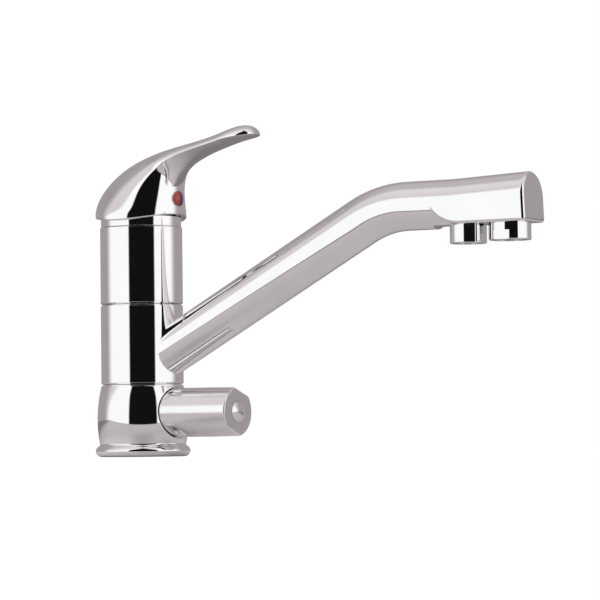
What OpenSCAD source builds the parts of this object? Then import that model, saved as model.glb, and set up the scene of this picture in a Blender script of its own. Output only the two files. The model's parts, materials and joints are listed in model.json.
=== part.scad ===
// Three-way kitchen tap: a single lever on top mixes hot and cold water, a knob at the foot
// opens the filtered water, and a swivel spout brings both to two separate outlets.
// The frame: +Z up, the lever and the knob along +X, the origin on the body axis at worktop level.

/* [Body] */
// Outside diameter of the spout collar and the upper body
body_d = 47.4; // [46.8:0.1:54]
// Largest diameter of the barrel at the foot
barrel_d = 52.2; // [50:0.2:56]
// Height of the barrel's top edge above the worktop
barrel_h = 42.2; // [41.5:0.1:50]
// Height of the swivelling collar
collar_h = 45.4; // [45:0.1:54]
// Height of the upper body that holds the mixing cartridge
upper_h = 45.3; // [44:0.1:54]
// Height of the trim ring under the lever
trim_h = 6; // [5:0.1:6.2]
// Running gap between the stacked body sections
seam_gap = 0.3; // [0.2:0.05:0.5]
// Chamfer on the edges at each seam
seam_chamfer = 0.8; // [0.4:0.1:1.2]

/* [Base] */
// Outside diameter of the base ring
base_ring_d = 54.4; // [53:0.2:60]
// Height of the base ring
base_ring_h = 7.5; // [7:0.1:10]
// Width of the base ring, from the spigot that locates it to its outer edge
base_ring_w = 7.2; // [6.8:0.1:7.6]
// Thickness of the gasket under the base ring
gasket_t = 1.8; // [1:0.1:2.5]

/* [Stem and waterways] */
// Diameter of the stem on which the collar turns
stem_d = 36; // [35:0.2:37]
// Radial running clearance between stem and collar
turn_clear = 0.05; // [0.03:0.01:0.1]
// Diameter of the thread that carries the upper body
stem_thread_d = 34; // [33:0.2:34.6]
// Length of that thread
stem_thread_l = 8.8; // [8:0.1:12]
// Diameter of the circle on which the waterways stand
port_circle_d = 22; // [21.4:0.2:22.4]
// Diameter of each vertical waterway
waterway_d = 7; // [6:0.2:7.4]
// Thread size of the three hose connections
hose_thread_d = 10; // [8:0.5:10]
// Depth of the hose connections
hose_thread_l = 12; // [10:0.5:14]
// Thread size of the fixing stud
stud_thread_d = 8; // [6:1:8]
// Depth of the fixing stud's hole
stud_thread_l = 16; // [12:0.5:20]
// Section diameter of the collar's sealing rings
seal_d = 2.4; // [2:0.1:2.6]

/* [Spout] */
// Swivel of the spout from straight ahead, in degrees
spout_turn = 3.5; // [-30:0.5:30]
// Outside diameter of the spout tube
spout_d = 27; // [26.6:0.1:29]
// Wall of the spout tube
spout_wall = 1.5; // [1.2:0.1:1.8]
// Height above the collar's lower edge where the long leg's axis meets the body axis
spout_foot_up = 7.1; // [6.8:0.1:8.4]
// Rise of the spout's axis from there to the level run
spout_rise_h = 86.7; // [80:0.1:98]
// Distance from the corner of the spout's axis to the head
head_run = 29.7; // [28:0.1:42]
// Radius of the bend between the two legs
bend_r = 60; // [52:1:72]
// Distance from the body axis to the main outlet
main_reach = 235.5; // [229:0.5:262]
// Distance between the two outlets
outlet_pitch = 25; // [24.8:0.1:30]
// Distance from the main outlet to the end face
head_nose = 14.3; // [14:0.1:20]
// Length of the head behind the filter outlet
head_tail = 22; // [21.5:0.5:30]
// Depth of the head's flat underside below the tube axis
head_drop = 11.8; // [11.5:0.1:12.6]
// Thickness of the head's floor
head_floor = 4.5; // [4:0.1:5]
// Rise of the head's top over the level run, in degrees
head_lift = 2; // [1:0.1:3]
// Rounding of the head's lower edges
head_round = 2; // [1:0.1:2.5]
// Outside diameter of the filtered water line inside the spout
line_d = 5; // [4:0.2:5.4]
// Wall of that line
line_wall = 0.75; // [0.5:0.05:1]

/* [Outlets] */
// Diameter of the main aerator's housing
main_d = 23.1; // [21.6:0.1:23.6]
// Visible length of the main aerator
main_l = 9.3; // [8:0.1:14]
// Diameter of the filter nozzle's housing
nozzle_d = 20.2; // [18.4:0.1:20.8]
// Visible length of the filter nozzle
nozzle_l = 10.2; // [8:0.1:14]
// Height of the spanner flats on both housings
spanner_h = 5; // [4:0.1:6]

/* [Lever] */
// Diameter of the lever's round skirt
skirt_d = 52.4; // [52:0.1:56]
// Height of the skirt's edge above the upper body
skirt_lift = 4.4; // [4:0.1:5]
// Rise of the skirt's edge at front and back over its sides
skirt_sag = 1.6; // [0:0.1:2]
// Reach of the lever's tip from the body axis
lever_reach = 80.8; // [78:0.2:100]
// Height of the lever's tip above the skirt's edge
lever_tip_h = 41.6; // [40:0.2:48]
// Half width of the lever's arm
arm_half_w = 11.3; // [10:0.1:14]
// Largest lift of the lever, in degrees
lever_lift = 25; // [15:1:25]
// Diameter of the hot and cold index button
index_d = 8.7; // [7:0.1:10]
// Height of the index button's dome
index_dome = 1.8; // [1:0.1:2.2]

/* [Cartridge] */
// Outside diameter of the ceramic mixing cartridge
cartridge_d = 39.2; // [38:0.1:39.4]
// Height of the cartridge's foot
cartridge_foot_h = 12; // [11:0.1:13]
// Thickness of the fixed ceramic disc
fixed_disc_t = 4; // [3:0.1:4.5]
// Thickness of the moving ceramic disc
moving_disc_t = 3.5; // [3:0.1:4]
// Diameter of the fixed ceramic disc
fixed_disc_d = 30; // [29:0.2:30.6]
// Diameter of the moving ceramic disc
moving_disc_d = 21; // [19:0.2:21.4]
// Square size of the lever spindle
spindle_w = 8; // [7:0.1:8.2]
// Diameter of the pin that the spindle tilts on
pin_d = 4; // [3:0.1:4.4]

/* [Filter valve] */
// Height of the knob's axis above the worktop
knob_z = 25; // [24.5:0.1:27]
// Diameter of the knob
knob_d = 28; // [26:0.2:29]
// How far the knob stands out of the barrel
knob_out = 40.2; // [37:0.1:49]
// Depth of the recess that the knob turns in
knob_recess = 5.6; // [5:0.1:6]
// Tilt of the knob's flats when the valve is shut, in degrees
knob_tilt = 20; // [0:1:45]
// Depth of the flats at the end face
flat_depth = 2.1; // [1:0.1:3]
// Diameter of the domed button in the knob's end
button_d = 11.7; // [10:0.1:13]
// Diameter of the valve's bore in the barrel
valve_bore_d = 17; // [16:0.1:17.6]
// Diameter of the valve's ceramic discs
valve_disc_d = 12.6; // [11.6:0.1:12.8]
// Diameter of the valve's spindle
valve_spindle_d = 7; // [6:0.1:7.4]

/* [Hidden] */
$fn = 96;

// Fits and small allowances
fit = 0.05;          // radial room of pieces that are pushed or screwed together
loose = 0.3;         // room between pieces that move past each other
past = 1;            // how far a cutting tool runs past the face that it opens
shoulder = 1;        // ledges, lips and other small steps

// Levels of the stacked body
z_collar_low = barrel_h + seam_gap;
z_collar_top = z_collar_low + collar_h;
z_upper_low = z_collar_top + seam_gap;
z_upper_top = z_upper_low + upper_h;
z_seat = z_upper_low + stem_thread_l;

// Radii
body_r = body_d / 2;
stem_r = stem_d / 2;
bore_r = stem_r + turn_clear;
stem_thread_r = stem_thread_d / 2;
port_circle_r = port_circle_d / 2;
waterway_r = waterway_d / 2;
spigot_r = base_ring_d / 2 - base_ring_w;
barrel_crown_r = 75;                     // radius of the barrel's bulging side
barrel_crown_z = 21.5;                   // height of the barrel's largest diameter
slip_ring_t = 1.5;
slip_ring_r = stem_r + 3.2;
chamber_depth = 2.4;                     // depth of the two water chambers round the stem
chamber_r = bore_r + chamber_depth;

// The spout's axis: the long leg, the bend and the level run, in the XZ plane
spout_r = spout_d / 2;
spout_bore_r = spout_r - spout_wall;
spout_foot_z = z_collar_low + spout_foot_up;
spout_level_z = spout_foot_z + spout_rise_h;
filter_x = main_reach - outlet_pitch;
head_start_x = filter_x - head_tail;
bend_step = 0.05;
bend_lap = 0.3;
corner_x = head_start_x - head_run;
spout_rise = atan(spout_rise_h / corner_x);
bend_tangent = bend_r * tan(spout_rise / 2);
bend_end_x = corner_x + bend_tangent;
bend_centre_z = spout_level_z - bend_r;
leg_l = corner_x / cos(spout_rise) - bend_tangent;
head_end_x = main_reach + head_nose;
head_low_z = spout_level_z - head_drop;
head_floor_z = head_low_z + head_floor;
head_wall = 2;
head_heel_r = 20;                        // rounding of the head's heel, seen from the side
heel_x = filter_x - sqrt(head_heel_r ^ 2 - (head_heel_r - head_drop) ^ 2);
lift_l = (head_end_x - head_start_x) / cos(head_lift);
outlet_seat_z = head_floor_z - shoulder * 1.4;
washer_t = shoulder;
main_neck_r = 9;
nozzle_neck_r = 7.5;
insert_wall = 0.7;

// The filtered water line runs inside the spout, below its axis
line_r = line_d / 2;
line_drop = 4;
line_level_z = spout_level_z - line_drop;
line_bend_r = line_level_z - head_floor_z + 0.7;   // the line is upright where it enters the head's floor

// Water chambers and seals round the stem, set by where the line and the spout leave the collar
filter_chamber_z = spout_foot_z + chamber_r * tan(spout_rise) - line_drop / cos(spout_rise);
filter_chamber_h = 8;
seal_groove_h = seal_d + 0.2;
seal_z_low = z_collar_low + slip_ring_t + seal_groove_h;
seal_z_mid = filter_chamber_z + filter_chamber_h / 2 + seal_groove_h;
mixed_chamber_low = seal_z_mid + seal_groove_h;
seal_z_top = z_collar_top - slip_ring_t - seal_groove_h;
mixed_chamber_top = seal_z_top - seal_groove_h;
mixed_port_d = 9;
mixed_port_z = mixed_chamber_low + mixed_port_d / 2 + 0.6;
filter_riser_r = 2.75;

// The mixing cartridge, from its seat upwards, and the centre that the lever tilts about
cartridge_r = cartridge_d / 2;
cartridge_bore_r = cartridge_r + 0.6;
z_fixed_disc = z_seat + cartridge_foot_h;
z_moving_disc = z_fixed_disc + fixed_disc_t;
z_carrier = z_moving_disc + moving_disc_t;
carrier_h = 5.5;
z_carrier_top = z_carrier + carrier_h;
z_rotor = z_carrier_top + loose;
rotor_flange_h = 4.7;
z_rotor_neck = z_rotor + rotor_flange_h;
pivot_up = 7.7;                          // height of the tilt centre above the rotor's underside
z_pivot = z_rotor + pivot_up;
z_housing_top = z_rotor_neck + 4;
nut_h = 7;
z_rotor_top = z_housing_top + nut_h;
housing_bore_r = fixed_disc_d / 2 + 0.6;
rotor_r = housing_bore_r - loose;
rotor_neck_r = 12;
nut_bore_r = rotor_neck_r + 2;
nut_flats = 36;
foot_drop = 9;                           // the spindle's ball sits this far below the tilt centre
foot_r = 3;
// half length of the rotor's slot, which lets the spindle tilt by the lever's full lift
rotor_slot = (z_rotor_top - z_pivot) * tan(lever_lift) + spindle_w / 2 / cos(lever_lift) + loose;
pin_half_l = 11;

// The lever
skirt_r = skirt_d / 2;
z_skirt = z_upper_top + skirt_lift;
trim_r = body_r - seam_chamfer / 2 - 0.2;
trim_corner = [trim_r, z_upper_top + trim_h - seam_chamfer - z_pivot];
cavity_r = norm(trim_corner) + 0.5;      // the lever swings round the trim ring's edge
boss_room = 6;                           // lets the boss clear the cartridge nut when the lever is up
z_boss = z_rotor_top + boss_room;
boss_r = 7;
spindle_grip_l = 14;
spindle_top = z_boss + spindle_grip_l;
index_up = 10.5;
index_z = z_skirt + index_up;
index_r = index_d / 2;
index_seat_x = skirt_r - 3;
lever_screw_r = 2.5;
lever_screw_l = 10;

// The filter valve, along +X at the knob's height
valve_bore_r = valve_bore_d / 2;
valve_seat_x = 8;
knob_r = knob_d / 2;
knob_seat_x = barrel_d / 2 - knob_recess;
knob_end = barrel_d / 2 + knob_out;
knob_low_x = knob_seat_x + shoulder / 2;
valve_disc_r = valve_disc_d / 2;
valve_spindle_r = valve_spindle_d / 2;
seat_seal_t = 1.5;
valve_disc_t = 2.4;
x_valve_fixed = valve_seat_x + seat_seal_t;
x_valve_moving = x_valve_fixed + valve_disc_t;
x_valve_flange = x_valve_moving + valve_disc_t;
valve_flange_t = 2.6;
x_valve_neck = x_valve_flange + valve_flange_t + 0.2;
headwork_hex_t = 4.5;
headwork_neck_l = 9;
headwork_neck_end = knob_seat_x + headwork_hex_t + headwork_neck_l;
headwork_flats = 17;
knob_pocket_l = 13;                      // from the knob's end face to the end of the spindle
spindle_end_x = knob_end - knob_pocket_l;
knob_web_t = 5;
knob_floor_x = spindle_end_x + knob_web_t;
knob_cavity_end = headwork_neck_end + 3 * shoulder;
knob_screw_r = 2;
knob_screw_l = 9;
knob_screw_head_r = 3.6;
knob_screw_head_t = 2.6;
button_r = button_d / 2;
button_dome = 1.1;
flat_l = 33;                             // length of the knob's tapered flats
flat_runout_x = knob_end - flat_l;
filter_port_x = valve_seat_x + 3.5;
filter_riser_x = valve_seat_x - filter_riser_r - 0.25;

// Colours
chrome = [0.80, 0.81, 0.83];
brass = [0.80, 0.66, 0.36];
rubber = [0.10, 0.10, 0.11];
white_plastic = [0.92, 0.92, 0.90];
grey_plastic = [0.55, 0.56, 0.58];
ceramic = [0.95, 0.94, 0.90];
steel = [0.62, 0.63, 0.65];

// Shared shapes

module ring(outer_r, inner_r, low, top) {
    translate([0, 0, low])
        difference() {
            cylinder(r = outer_r, h = top - low);
            translate([0, 0, -past]) cylinder(r = inner_r, h = top - low + 2 * past);
        }
}

module bar(radius, low, top) {
    translate([0, 0, low]) cylinder(r = radius, h = top - low);
}

// A section of the body: an outer sleeve with chamfered edges
module sleeve(radius, low, top, cut_low, cut_top) {
    rotate_extrude()
        polygon([
            [0, low], [radius - cut_low, low], [radius, low + cut_low],
            [radius, top - cut_top], [radius - cut_top, top], [0, top]
        ]);
}

// Turns what is built along +Z so that it lies along +X on the knob's axis
module valve_axis() {
    translate([0, 0, knob_z]) rotate([0, 90, 0]) children();
}

// Turns what is built along +Z so that it lies along the spout's long leg
module leg_axis() {
    translate([0, 0, spout_foot_z]) rotate([0, 90 - spout_rise, 0]) children();
}

// Turns what is built along +Z so that it lies along the rising top of the spout's head
module head_axis() {
    translate([head_start_x, 0, spout_level_z]) rotate([0, 90 - head_lift, 0]) children();
}

// Swivels the spout's pieces to where they rest
module swivel() {
    rotate([0, 0, spout_turn]) children();
}

// A round bar that follows the spout's axis at a distance below it. The bend is a trace fuller
// than the straight legs, which run a little way into it.
module spout_bar(radius, drop, leg_from, level_to) {
    leg_axis() translate([drop, 0, 0]) bar(radius, leg_from, leg_l + bend_lap);
    translate([bend_end_x, 0, bend_centre_z])
        rotate([90, 0, 0])
            rotate([0, 0, 90])
                rotate_extrude(angle = spout_rise)
                    translate([bend_r - drop, 0]) circle(r = radius + bend_step);
    translate([0, 0, spout_level_z - drop]) rotate([0, 90, 0]) bar(radius, bend_end_x - bend_lap, level_to);
}

// Body sections

module base_ring() {
    bead_x = base_ring_d / 2 - bead_r;
    cove_r = 1.7;
    neck_r = bead_x + 0.7;
    color(chrome)
        difference() {
            rotate_extrude() {
                translate([bead_x, bead_r]) circle(r = bead_r);
                translate([spigot_r + fit, 0]) square([bead_x - spigot_r - fit, base_ring_h]);
                difference() {
                    translate([bead_x - shoulder, bead_r])
                        square([neck_r + shoulder - bead_x + 1, base_ring_h - bead_r]);
                    translate([neck_r + cove_r, base_ring_h]) circle(r = cove_r);
                }
            }
            gasket_groove();
        }
}

bead_r = 3.2;
gasket_in_r = spigot_r + shoulder;
gasket_out_r = base_ring_d / 2 - bead_r;

module gasket_groove() {
    translate([0, 0, -past])
        difference() {
            cylinder(r = gasket_out_r + fit, h = past + gasket_t);
            translate([0, 0, -past]) cylinder(r = gasket_in_r - fit, h = gasket_t + 3 * past);
        }
}

module base_gasket() {
    color(rubber) ring(gasket_out_r, gasket_in_r, 0, gasket_t);
}

// The cast body: the bulging barrel, the stem for the collar and the drilled waterways
module base_body() {
    color(chrome)
        difference() {
            union() {
                rotate_extrude()
                    intersection() {
                        translate([0, base_ring_h]) square([barrel_d, barrel_h - base_ring_h]);
                        translate([barrel_d / 2 - barrel_crown_r, barrel_crown_z])
                            circle(r = barrel_crown_r, $fn = 360);
                        polygon([
                            [0, 0], [barrel_d, 0], [barrel_d, barrel_h - barrel_d + body_r - seam_chamfer],
                            [body_r - seam_chamfer, barrel_h], [0, barrel_h]
                        ]);
                    }
                bar(spigot_r, 0, base_ring_h);
                bar(stem_r, barrel_h, z_upper_low);
                bar(stem_thread_r, z_upper_low, z_seat);
            }
            for (side = [-1, 1]) translate([0, side * port_circle_r, 0]) {
                bar(waterway_r, -past, z_seat + past);
                bar(hose_thread_d / 2, -past, hose_thread_l);
            }
            bar(stud_thread_d / 2, -past, stud_thread_l);
            translate([-port_circle_r, 0, 0]) bar(waterway_r, mixed_port_z, z_seat + past);
            translate([-port_circle_r, 0, mixed_port_z])
                rotate([0, -90, 0]) cylinder(r = waterway_r, h = stem_r);
            translate([filter_port_x, 0, 0]) {
                bar(waterway_r - 0.5, -past, knob_z);
                bar(hose_thread_d / 2, -past, hose_thread_l - 2);
            }
            valve_axis() {
                bar(valve_bore_r, valve_seat_x, base_ring_d);
                bar(waterway_r, valve_seat_x - 5, valve_seat_x + past);
                bar(knob_r + 0.4, knob_seat_x, base_ring_d);
            }
            translate([filter_riser_x, 0, 0]) bar(filter_riser_r, knob_z, filter_chamber_z);
            translate([filter_riser_x, 0, filter_chamber_z])
                rotate([0, 90, 0]) cylinder(r = filter_riser_r, h = stem_r);
            for (z = [seal_z_low, seal_z_mid, seal_z_top])
                ring(stem_r + past, stem_r - seal_d - fit, z - seal_groove_h / 2, z + seal_groove_h / 2);
        }
}

module lower_slip_ring() {
    color(white_plastic) ring(slip_ring_r, bore_r, barrel_h, barrel_h + slip_ring_t);
}

module upper_slip_ring() {
    color(white_plastic) ring(slip_ring_r, bore_r, z_upper_low - slip_ring_t, z_upper_low);
}

module collar_o_rings() {
    color(rubber)
        for (z = [seal_z_low, seal_z_mid, seal_z_top])
            translate([0, 0, z])
                rotate_extrude() translate([stem_r - seal_d / 2, 0]) circle(r = seal_d / 2, $fn = 32);
}

module upper_body() {
    color(chrome)
        difference() {
            sleeve(body_r, z_upper_low, z_upper_top, seam_chamfer, seam_chamfer / 2);
            bar(stem_thread_r + fit, z_upper_low - past, z_seat + past);
            bar(cartridge_bore_r, z_seat, z_upper_top + past);
        }
}

module trim_ring() {
    color(chrome)
        difference() {
            sleeve(trim_r, z_upper_top, z_upper_top + trim_h, seam_chamfer / 2, seam_chamfer);
            bar(nut_flats / 2 / cos(30) + 0.5, z_upper_top - past, z_upper_top + trim_h + past);
        }
}

// Mixing cartridge

// The hot, cold and mixed ports of the cartridge
port_places = [[0, -port_circle_r], [0, port_circle_r], [-port_circle_r, 0]];
port_seal_r = waterway_r + 1.6;
port_seal_t = 1.6;
cartridge_port_r = waterway_r - 0.4;

module cartridge_seals() {
    color(rubber)
        for (place = port_places)
            translate(place) ring(port_seal_r - fit, waterway_r, z_seat, z_seat + port_seal_t);
}

module cartridge_base() {
    color(grey_plastic)
        difference() {
            bar(cartridge_r, z_seat, z_fixed_disc);
            for (place = port_places) translate(place) {
                bar(port_seal_r, z_seat - past, z_seat + port_seal_t);
                bar(cartridge_port_r, z_seat, z_fixed_disc + past);
            }
        }
}

module fixed_disc() {
    color(ceramic)
        difference() {
            bar(fixed_disc_d / 2, z_fixed_disc, z_moving_disc);
            for (place = port_places)
                translate(place * 0.9)
                    bar(cartridge_port_r - 0.4, z_fixed_disc - past, z_moving_disc + past);
        }
}

module cartridge_housing() {
    color(grey_plastic)
        difference() {
            bar(cartridge_r, z_fixed_disc, z_housing_top);
            bar(housing_bore_r, z_fixed_disc - past, z_rotor_neck + loose);
            bar(rotor_neck_r + loose, z_fixed_disc, z_housing_top + past);
        }
}

module cartridge_nut() {
    color(brass)
        difference() {
            union() {
                bar(cartridge_bore_r - fit, z_housing_top, z_upper_top);
                bar(nut_flats / 2 / cos(30), z_upper_top, z_rotor_top, $fn = 6);
            }
            bar(nut_bore_r, z_housing_top - past, z_rotor_top + past);
        }
}

module cartridge_rotor() {
    slot_w = spindle_w + 0.4;
    color(white_plastic)
        difference() {
            union() {
                bar(rotor_r, z_rotor, z_rotor_neck);
                bar(rotor_neck_r, z_rotor, z_rotor_top);
            }
            translate([-rotor_slot, -slot_w / 2, z_rotor - past])
                cube([2 * rotor_slot, slot_w, z_rotor_top - z_rotor + 2 * past]);
            translate([0, 0, z_pivot])
                rotate([90, 0, 0]) bar(pin_d / 2 + fit, -rotor_r, rotor_r);
        }
}

module lever_pin() {
    color(steel)
        translate([0, 0, z_pivot]) rotate([90, 0, 0]) bar(pin_d / 2, -pin_half_l, pin_half_l);
}

module disc_carrier() {
    pocket_r = foot_r + loose;
    color(white_plastic)
        difference() {
            bar(moving_disc_d / 2, z_carrier, z_carrier_top);
            bar(pocket_r, z_pivot - foot_drop - pocket_r, z_carrier_top + past);
        }
}

module moving_disc() {
    mix_r = 6.5;
    mix_depth = 1.8;
    color(ceramic)
        difference() {
            bar(moving_disc_d / 2, z_moving_disc, z_carrier);
            translate([-2, 0, 0]) bar(mix_r, z_moving_disc - past, z_moving_disc + mix_depth);
        }
}

// Lever

module spindle() {
    square_low = z_pivot - 5;
    neck_r = 2.2;
    color(brass)
        difference() {
            union() {
                translate([-spindle_w / 2, -spindle_w / 2, square_low])
                    cube([spindle_w, spindle_w, spindle_top - square_low]);
                bar(neck_r, z_pivot - foot_drop, square_low + shoulder);
                translate([0, 0, z_pivot - foot_drop]) sphere(r = foot_r);
            }
            translate([0, -spindle_w, z_pivot])
                rotate([-90, 0, 0]) cylinder(r = pin_d / 2 + turn_clear, h = 2 * spindle_w);
        }
}

// A cubic curve through its first and last point
function curve(p, t) =
    let (s = 1 - t)
    s * s * s * p[0] + 3 * s * s * t * p[1] + 3 * s * t * t * p[2] + t * t * t * p[3];

// A chain of cubic curves, taken over t from 0 to 1
function chain(curves, t) =
    let (n = len(curves), i = min(floor(t * n), n - 1))
    curve(curves[i], t * n - i);

function smooth(t) = let (u = max(0, min(1, t))) u * u * (3 - 2 * u);

// The lever's two outlines in its middle plane: along the back and top, and up the front and
// under the arm. They are drawn for the skirt's edge at z = 0 and meet at the tip.
tip = [lever_reach, lever_tip_h];
waist_top = [1.6, 30.8];
waist_low = [0.38 * lever_reach, 21.5];
neck_top = tip + [-18.3, 3.6];
neck_low = tip + [-20.3, -4.2];
back_curves = [
    [[-skirt_r, 0], [-skirt_r, 10], waist_top - [18.5, 7.2], waist_top],
    [waist_top, waist_top + [19.4, 7.6], neck_top - [26, 7.6], neck_top],
    [neck_top, neck_top + [7.5, 2.2], tip + [-0.5, 7.2], tip]
];
front_curves = [
    [[skirt_r, 0], [skirt_r, 9], waist_low - [3, 5.3], waist_low],
    [waist_low, waist_low + [3.8, 6.8], neck_low - [14.9, 3.7], neck_low],
    [neck_low, neck_low + [5.5, 1.3], tip + [-3.3, -2], tip]
];

// Half width of each section, and how far its widest line lies below the middle
waist_half_w = 16.8;
function half_width(t) =
    t < 1 / 3 ? skirt_r + (waist_half_w - skirt_r) * smooth(t * 3)
    : t < 2 / 3 ? waist_half_w + (arm_half_w - waist_half_w) * smooth(t * 3 - 1)
    : arm_half_w * pow(max(0, 1 - pow(t * 3 - 2, 2.4)), 0.5);
function chine_place(t) = -0.73 * smooth(t * 2.3 - 0.18);
function chine_crease(t) = smooth(t * 3.2 - 0.35);

// One point of the loft: t runs from the skirt to the tip and turn goes round the section,
// from the back over one side to the front and home over the other side
function loft_point(t, turn) =
    let (
        top = chain(back_curves, t),
        low = chain(front_curves, t),
        c = cos(turn),
        k = chine_crease(t),
        place = chine_place(t),
        along = c >= 0 ? place + (1 - place) * c : place + (1 + place) * c,
        wide = c >= 0 ? abs(sin(turn)) : sqrt(max(0, 1 - (1 - k) * c * c + k * c)),
        middle = (top + low) / 2 + (top - low) / 2 * along,
        sag = skirt_sag * (2 * c * c - 1) * (1 - smooth(t * 4))
    )
    [middle[0], (turn < 180 ? -1 : 1) * half_width(t) * wide, middle[1] + sag];

loft_steps = 34;
loft_turns = 36;
lip_round = 1.8;
loft_end = 0.997;

// The handle's outer skin: a rounded lip, the loft and a closed tip
module lever_skin() {
    turns = [for (j = [0 : loft_turns - 1]) j * 360 / loft_turns];
    lip = [
        for (bend = [0, 30, 60])
            [for (a = turns)
                let (p = loft_point(0, a), share = 1 - lip_round * (1 - sin(bend)) / skirt_r)
                [p[0] * share, p[1] * share, p[2] - lip_round * cos(bend)]]
    ];
    skin = [
        for (i = [0 : loft_steps])
            [for (a = turns) loft_point(loft_end * i / loft_steps, a)]
    ];
    rings = concat(lip, skin);
    count = len(rings);
    last = count * loft_turns;
    points = concat(
        [for (r = rings) each r],
        [[0, 0, -lip_round], [tip[0], 0, tip[1]]]
    );
    sides = [
        for (i = [0 : count - 2], j = [0 : loft_turns - 1])
            let (a = i * loft_turns + j, b = i * loft_turns + (j + 1) % loft_turns)
            each [[a, a + loft_turns, b], [b, a + loft_turns, b + loft_turns]]
    ];
    caps = [
        for (j = [0 : loft_turns - 1])
            let (k = (j + 1) % loft_turns, end = (count - 1) * loft_turns)
            each [[j, k, last], [end + k, end + j, last + 1]]
    ];
    translate([0, 0, z_skirt + lip_round]) polyhedron(points, concat(sides, caps), convexity = 8);
}

module lever_handle() {
    rib_w = 10;
    color(chrome)
        difference() {
            lever_skin();
            difference() {
                translate([0, 0, z_pivot]) sphere(r = cavity_r, $fn = 120);
                bar(boss_r, z_boss, z_pivot + cavity_r + past);
                translate([0, -rib_w / 2, z_boss]) cube([cavity_r, rib_w, cavity_r]);
            }
            translate([-spindle_w / 2 - fit, -spindle_w / 2 - fit, z_boss - past])
                cube([spindle_w + 2 * fit, spindle_w + 2 * fit, spindle_top - z_boss + past + fit]);
            translate([0, 0, index_z]) rotate([0, 90, 0]) {
                bar(lever_screw_r + fit, 0, skirt_r);
                bar(index_r + fit, index_seat_x, skirt_r + 2 * past);
            }
        }
}

module lever_screw() {
    socket_r = 1.4;
    socket_l = 3;
    screw_end = spindle_w / 2 + lever_screw_l;
    color(steel)
        translate([0, 0, index_z]) rotate([0, 90, 0])
            difference() {
                bar(lever_screw_r, spindle_w / 2, screw_end);
                bar(socket_r, screw_end - socket_l, screw_end + past, $fn = 6);
            }
}

// One half of the index button: a plug with a domed face, split in the lever's middle plane
module index_half(side) {
    dome_base = skirt_r - 0.6;
    dome_r = (index_r * index_r + index_dome * index_dome) / (2 * index_dome);
    intersection() {
        translate([0, 0, index_z]) rotate([0, 90, 0]) {
            bar(index_r, index_seat_x, dome_base);
            intersection() {
                bar(index_r, dome_base, dome_base + index_dome + past);
                translate([0, 0, dome_base + index_dome - dome_r]) sphere(r = dome_r);
            }
        }
        translate([0, side < 0 ? -skirt_r : 0, index_z - skirt_r / 2])
            cube([2 * skirt_r, skirt_r, skirt_r]);
    }
}

module hot_index() {
    color([0.70, 0.22, 0.15]) index_half(-1);
}

module cold_index() {
    color([0.10, 0.14, 0.45]) index_half(1);
}

// Spout

module spout_collar() {
    color(chrome)
        difference() {
            sleeve(body_r, z_collar_low, z_collar_top, seam_chamfer, seam_chamfer);
            bar(bore_r, z_collar_low - past, z_collar_top + past);
            bar(slip_ring_r + fit, z_collar_low - past, barrel_h + slip_ring_t);
            bar(slip_ring_r + fit, z_upper_low - slip_ring_t, z_collar_top + past);
            translate([0, 0, filter_chamber_z]) bar(chamber_r, -filter_chamber_h / 2, filter_chamber_h / 2);
            bar(chamber_r, mixed_chamber_low, mixed_chamber_top);
            translate([0, 0, mixed_port_z]) rotate([0, 90, 0]) bar(mixed_port_d / 2, bore_r, body_r + past);
            leg_axis() translate([line_drop, 0, 0]) bar(line_r + fit, stem_r / cos(spout_rise), body_d);
        }
}

module spout_tube() {
    color(chrome)
        difference() {
            spout_bar(spout_r, 0, body_r / 2, head_start_x);
            spout_bar(spout_bore_r, 0, 0, head_start_x + past);
            bar(body_r + fit / 2, z_collar_low - past, z_collar_top + past);
        }
}

// The head's outline from the side, below its axis: a rounded heel and a flat underside
module head_side() {
    end_low_x = head_end_x + head_drop * tan(head_lift);
    end_rise = lift_l * sin(head_lift);
    intersection() {
        translate([filter_x, head_low_z + head_heel_r]) circle(r = head_heel_r);
        translate([filter_x - head_heel_r, head_low_z]) square([head_heel_r + shoulder, head_drop]);
    }
    polygon([
        [filter_x, head_low_z], [end_low_x, head_low_z], [head_end_x, spout_level_z + end_rise],
        [filter_x - shoulder, spout_level_z]
    ]);
}

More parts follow.
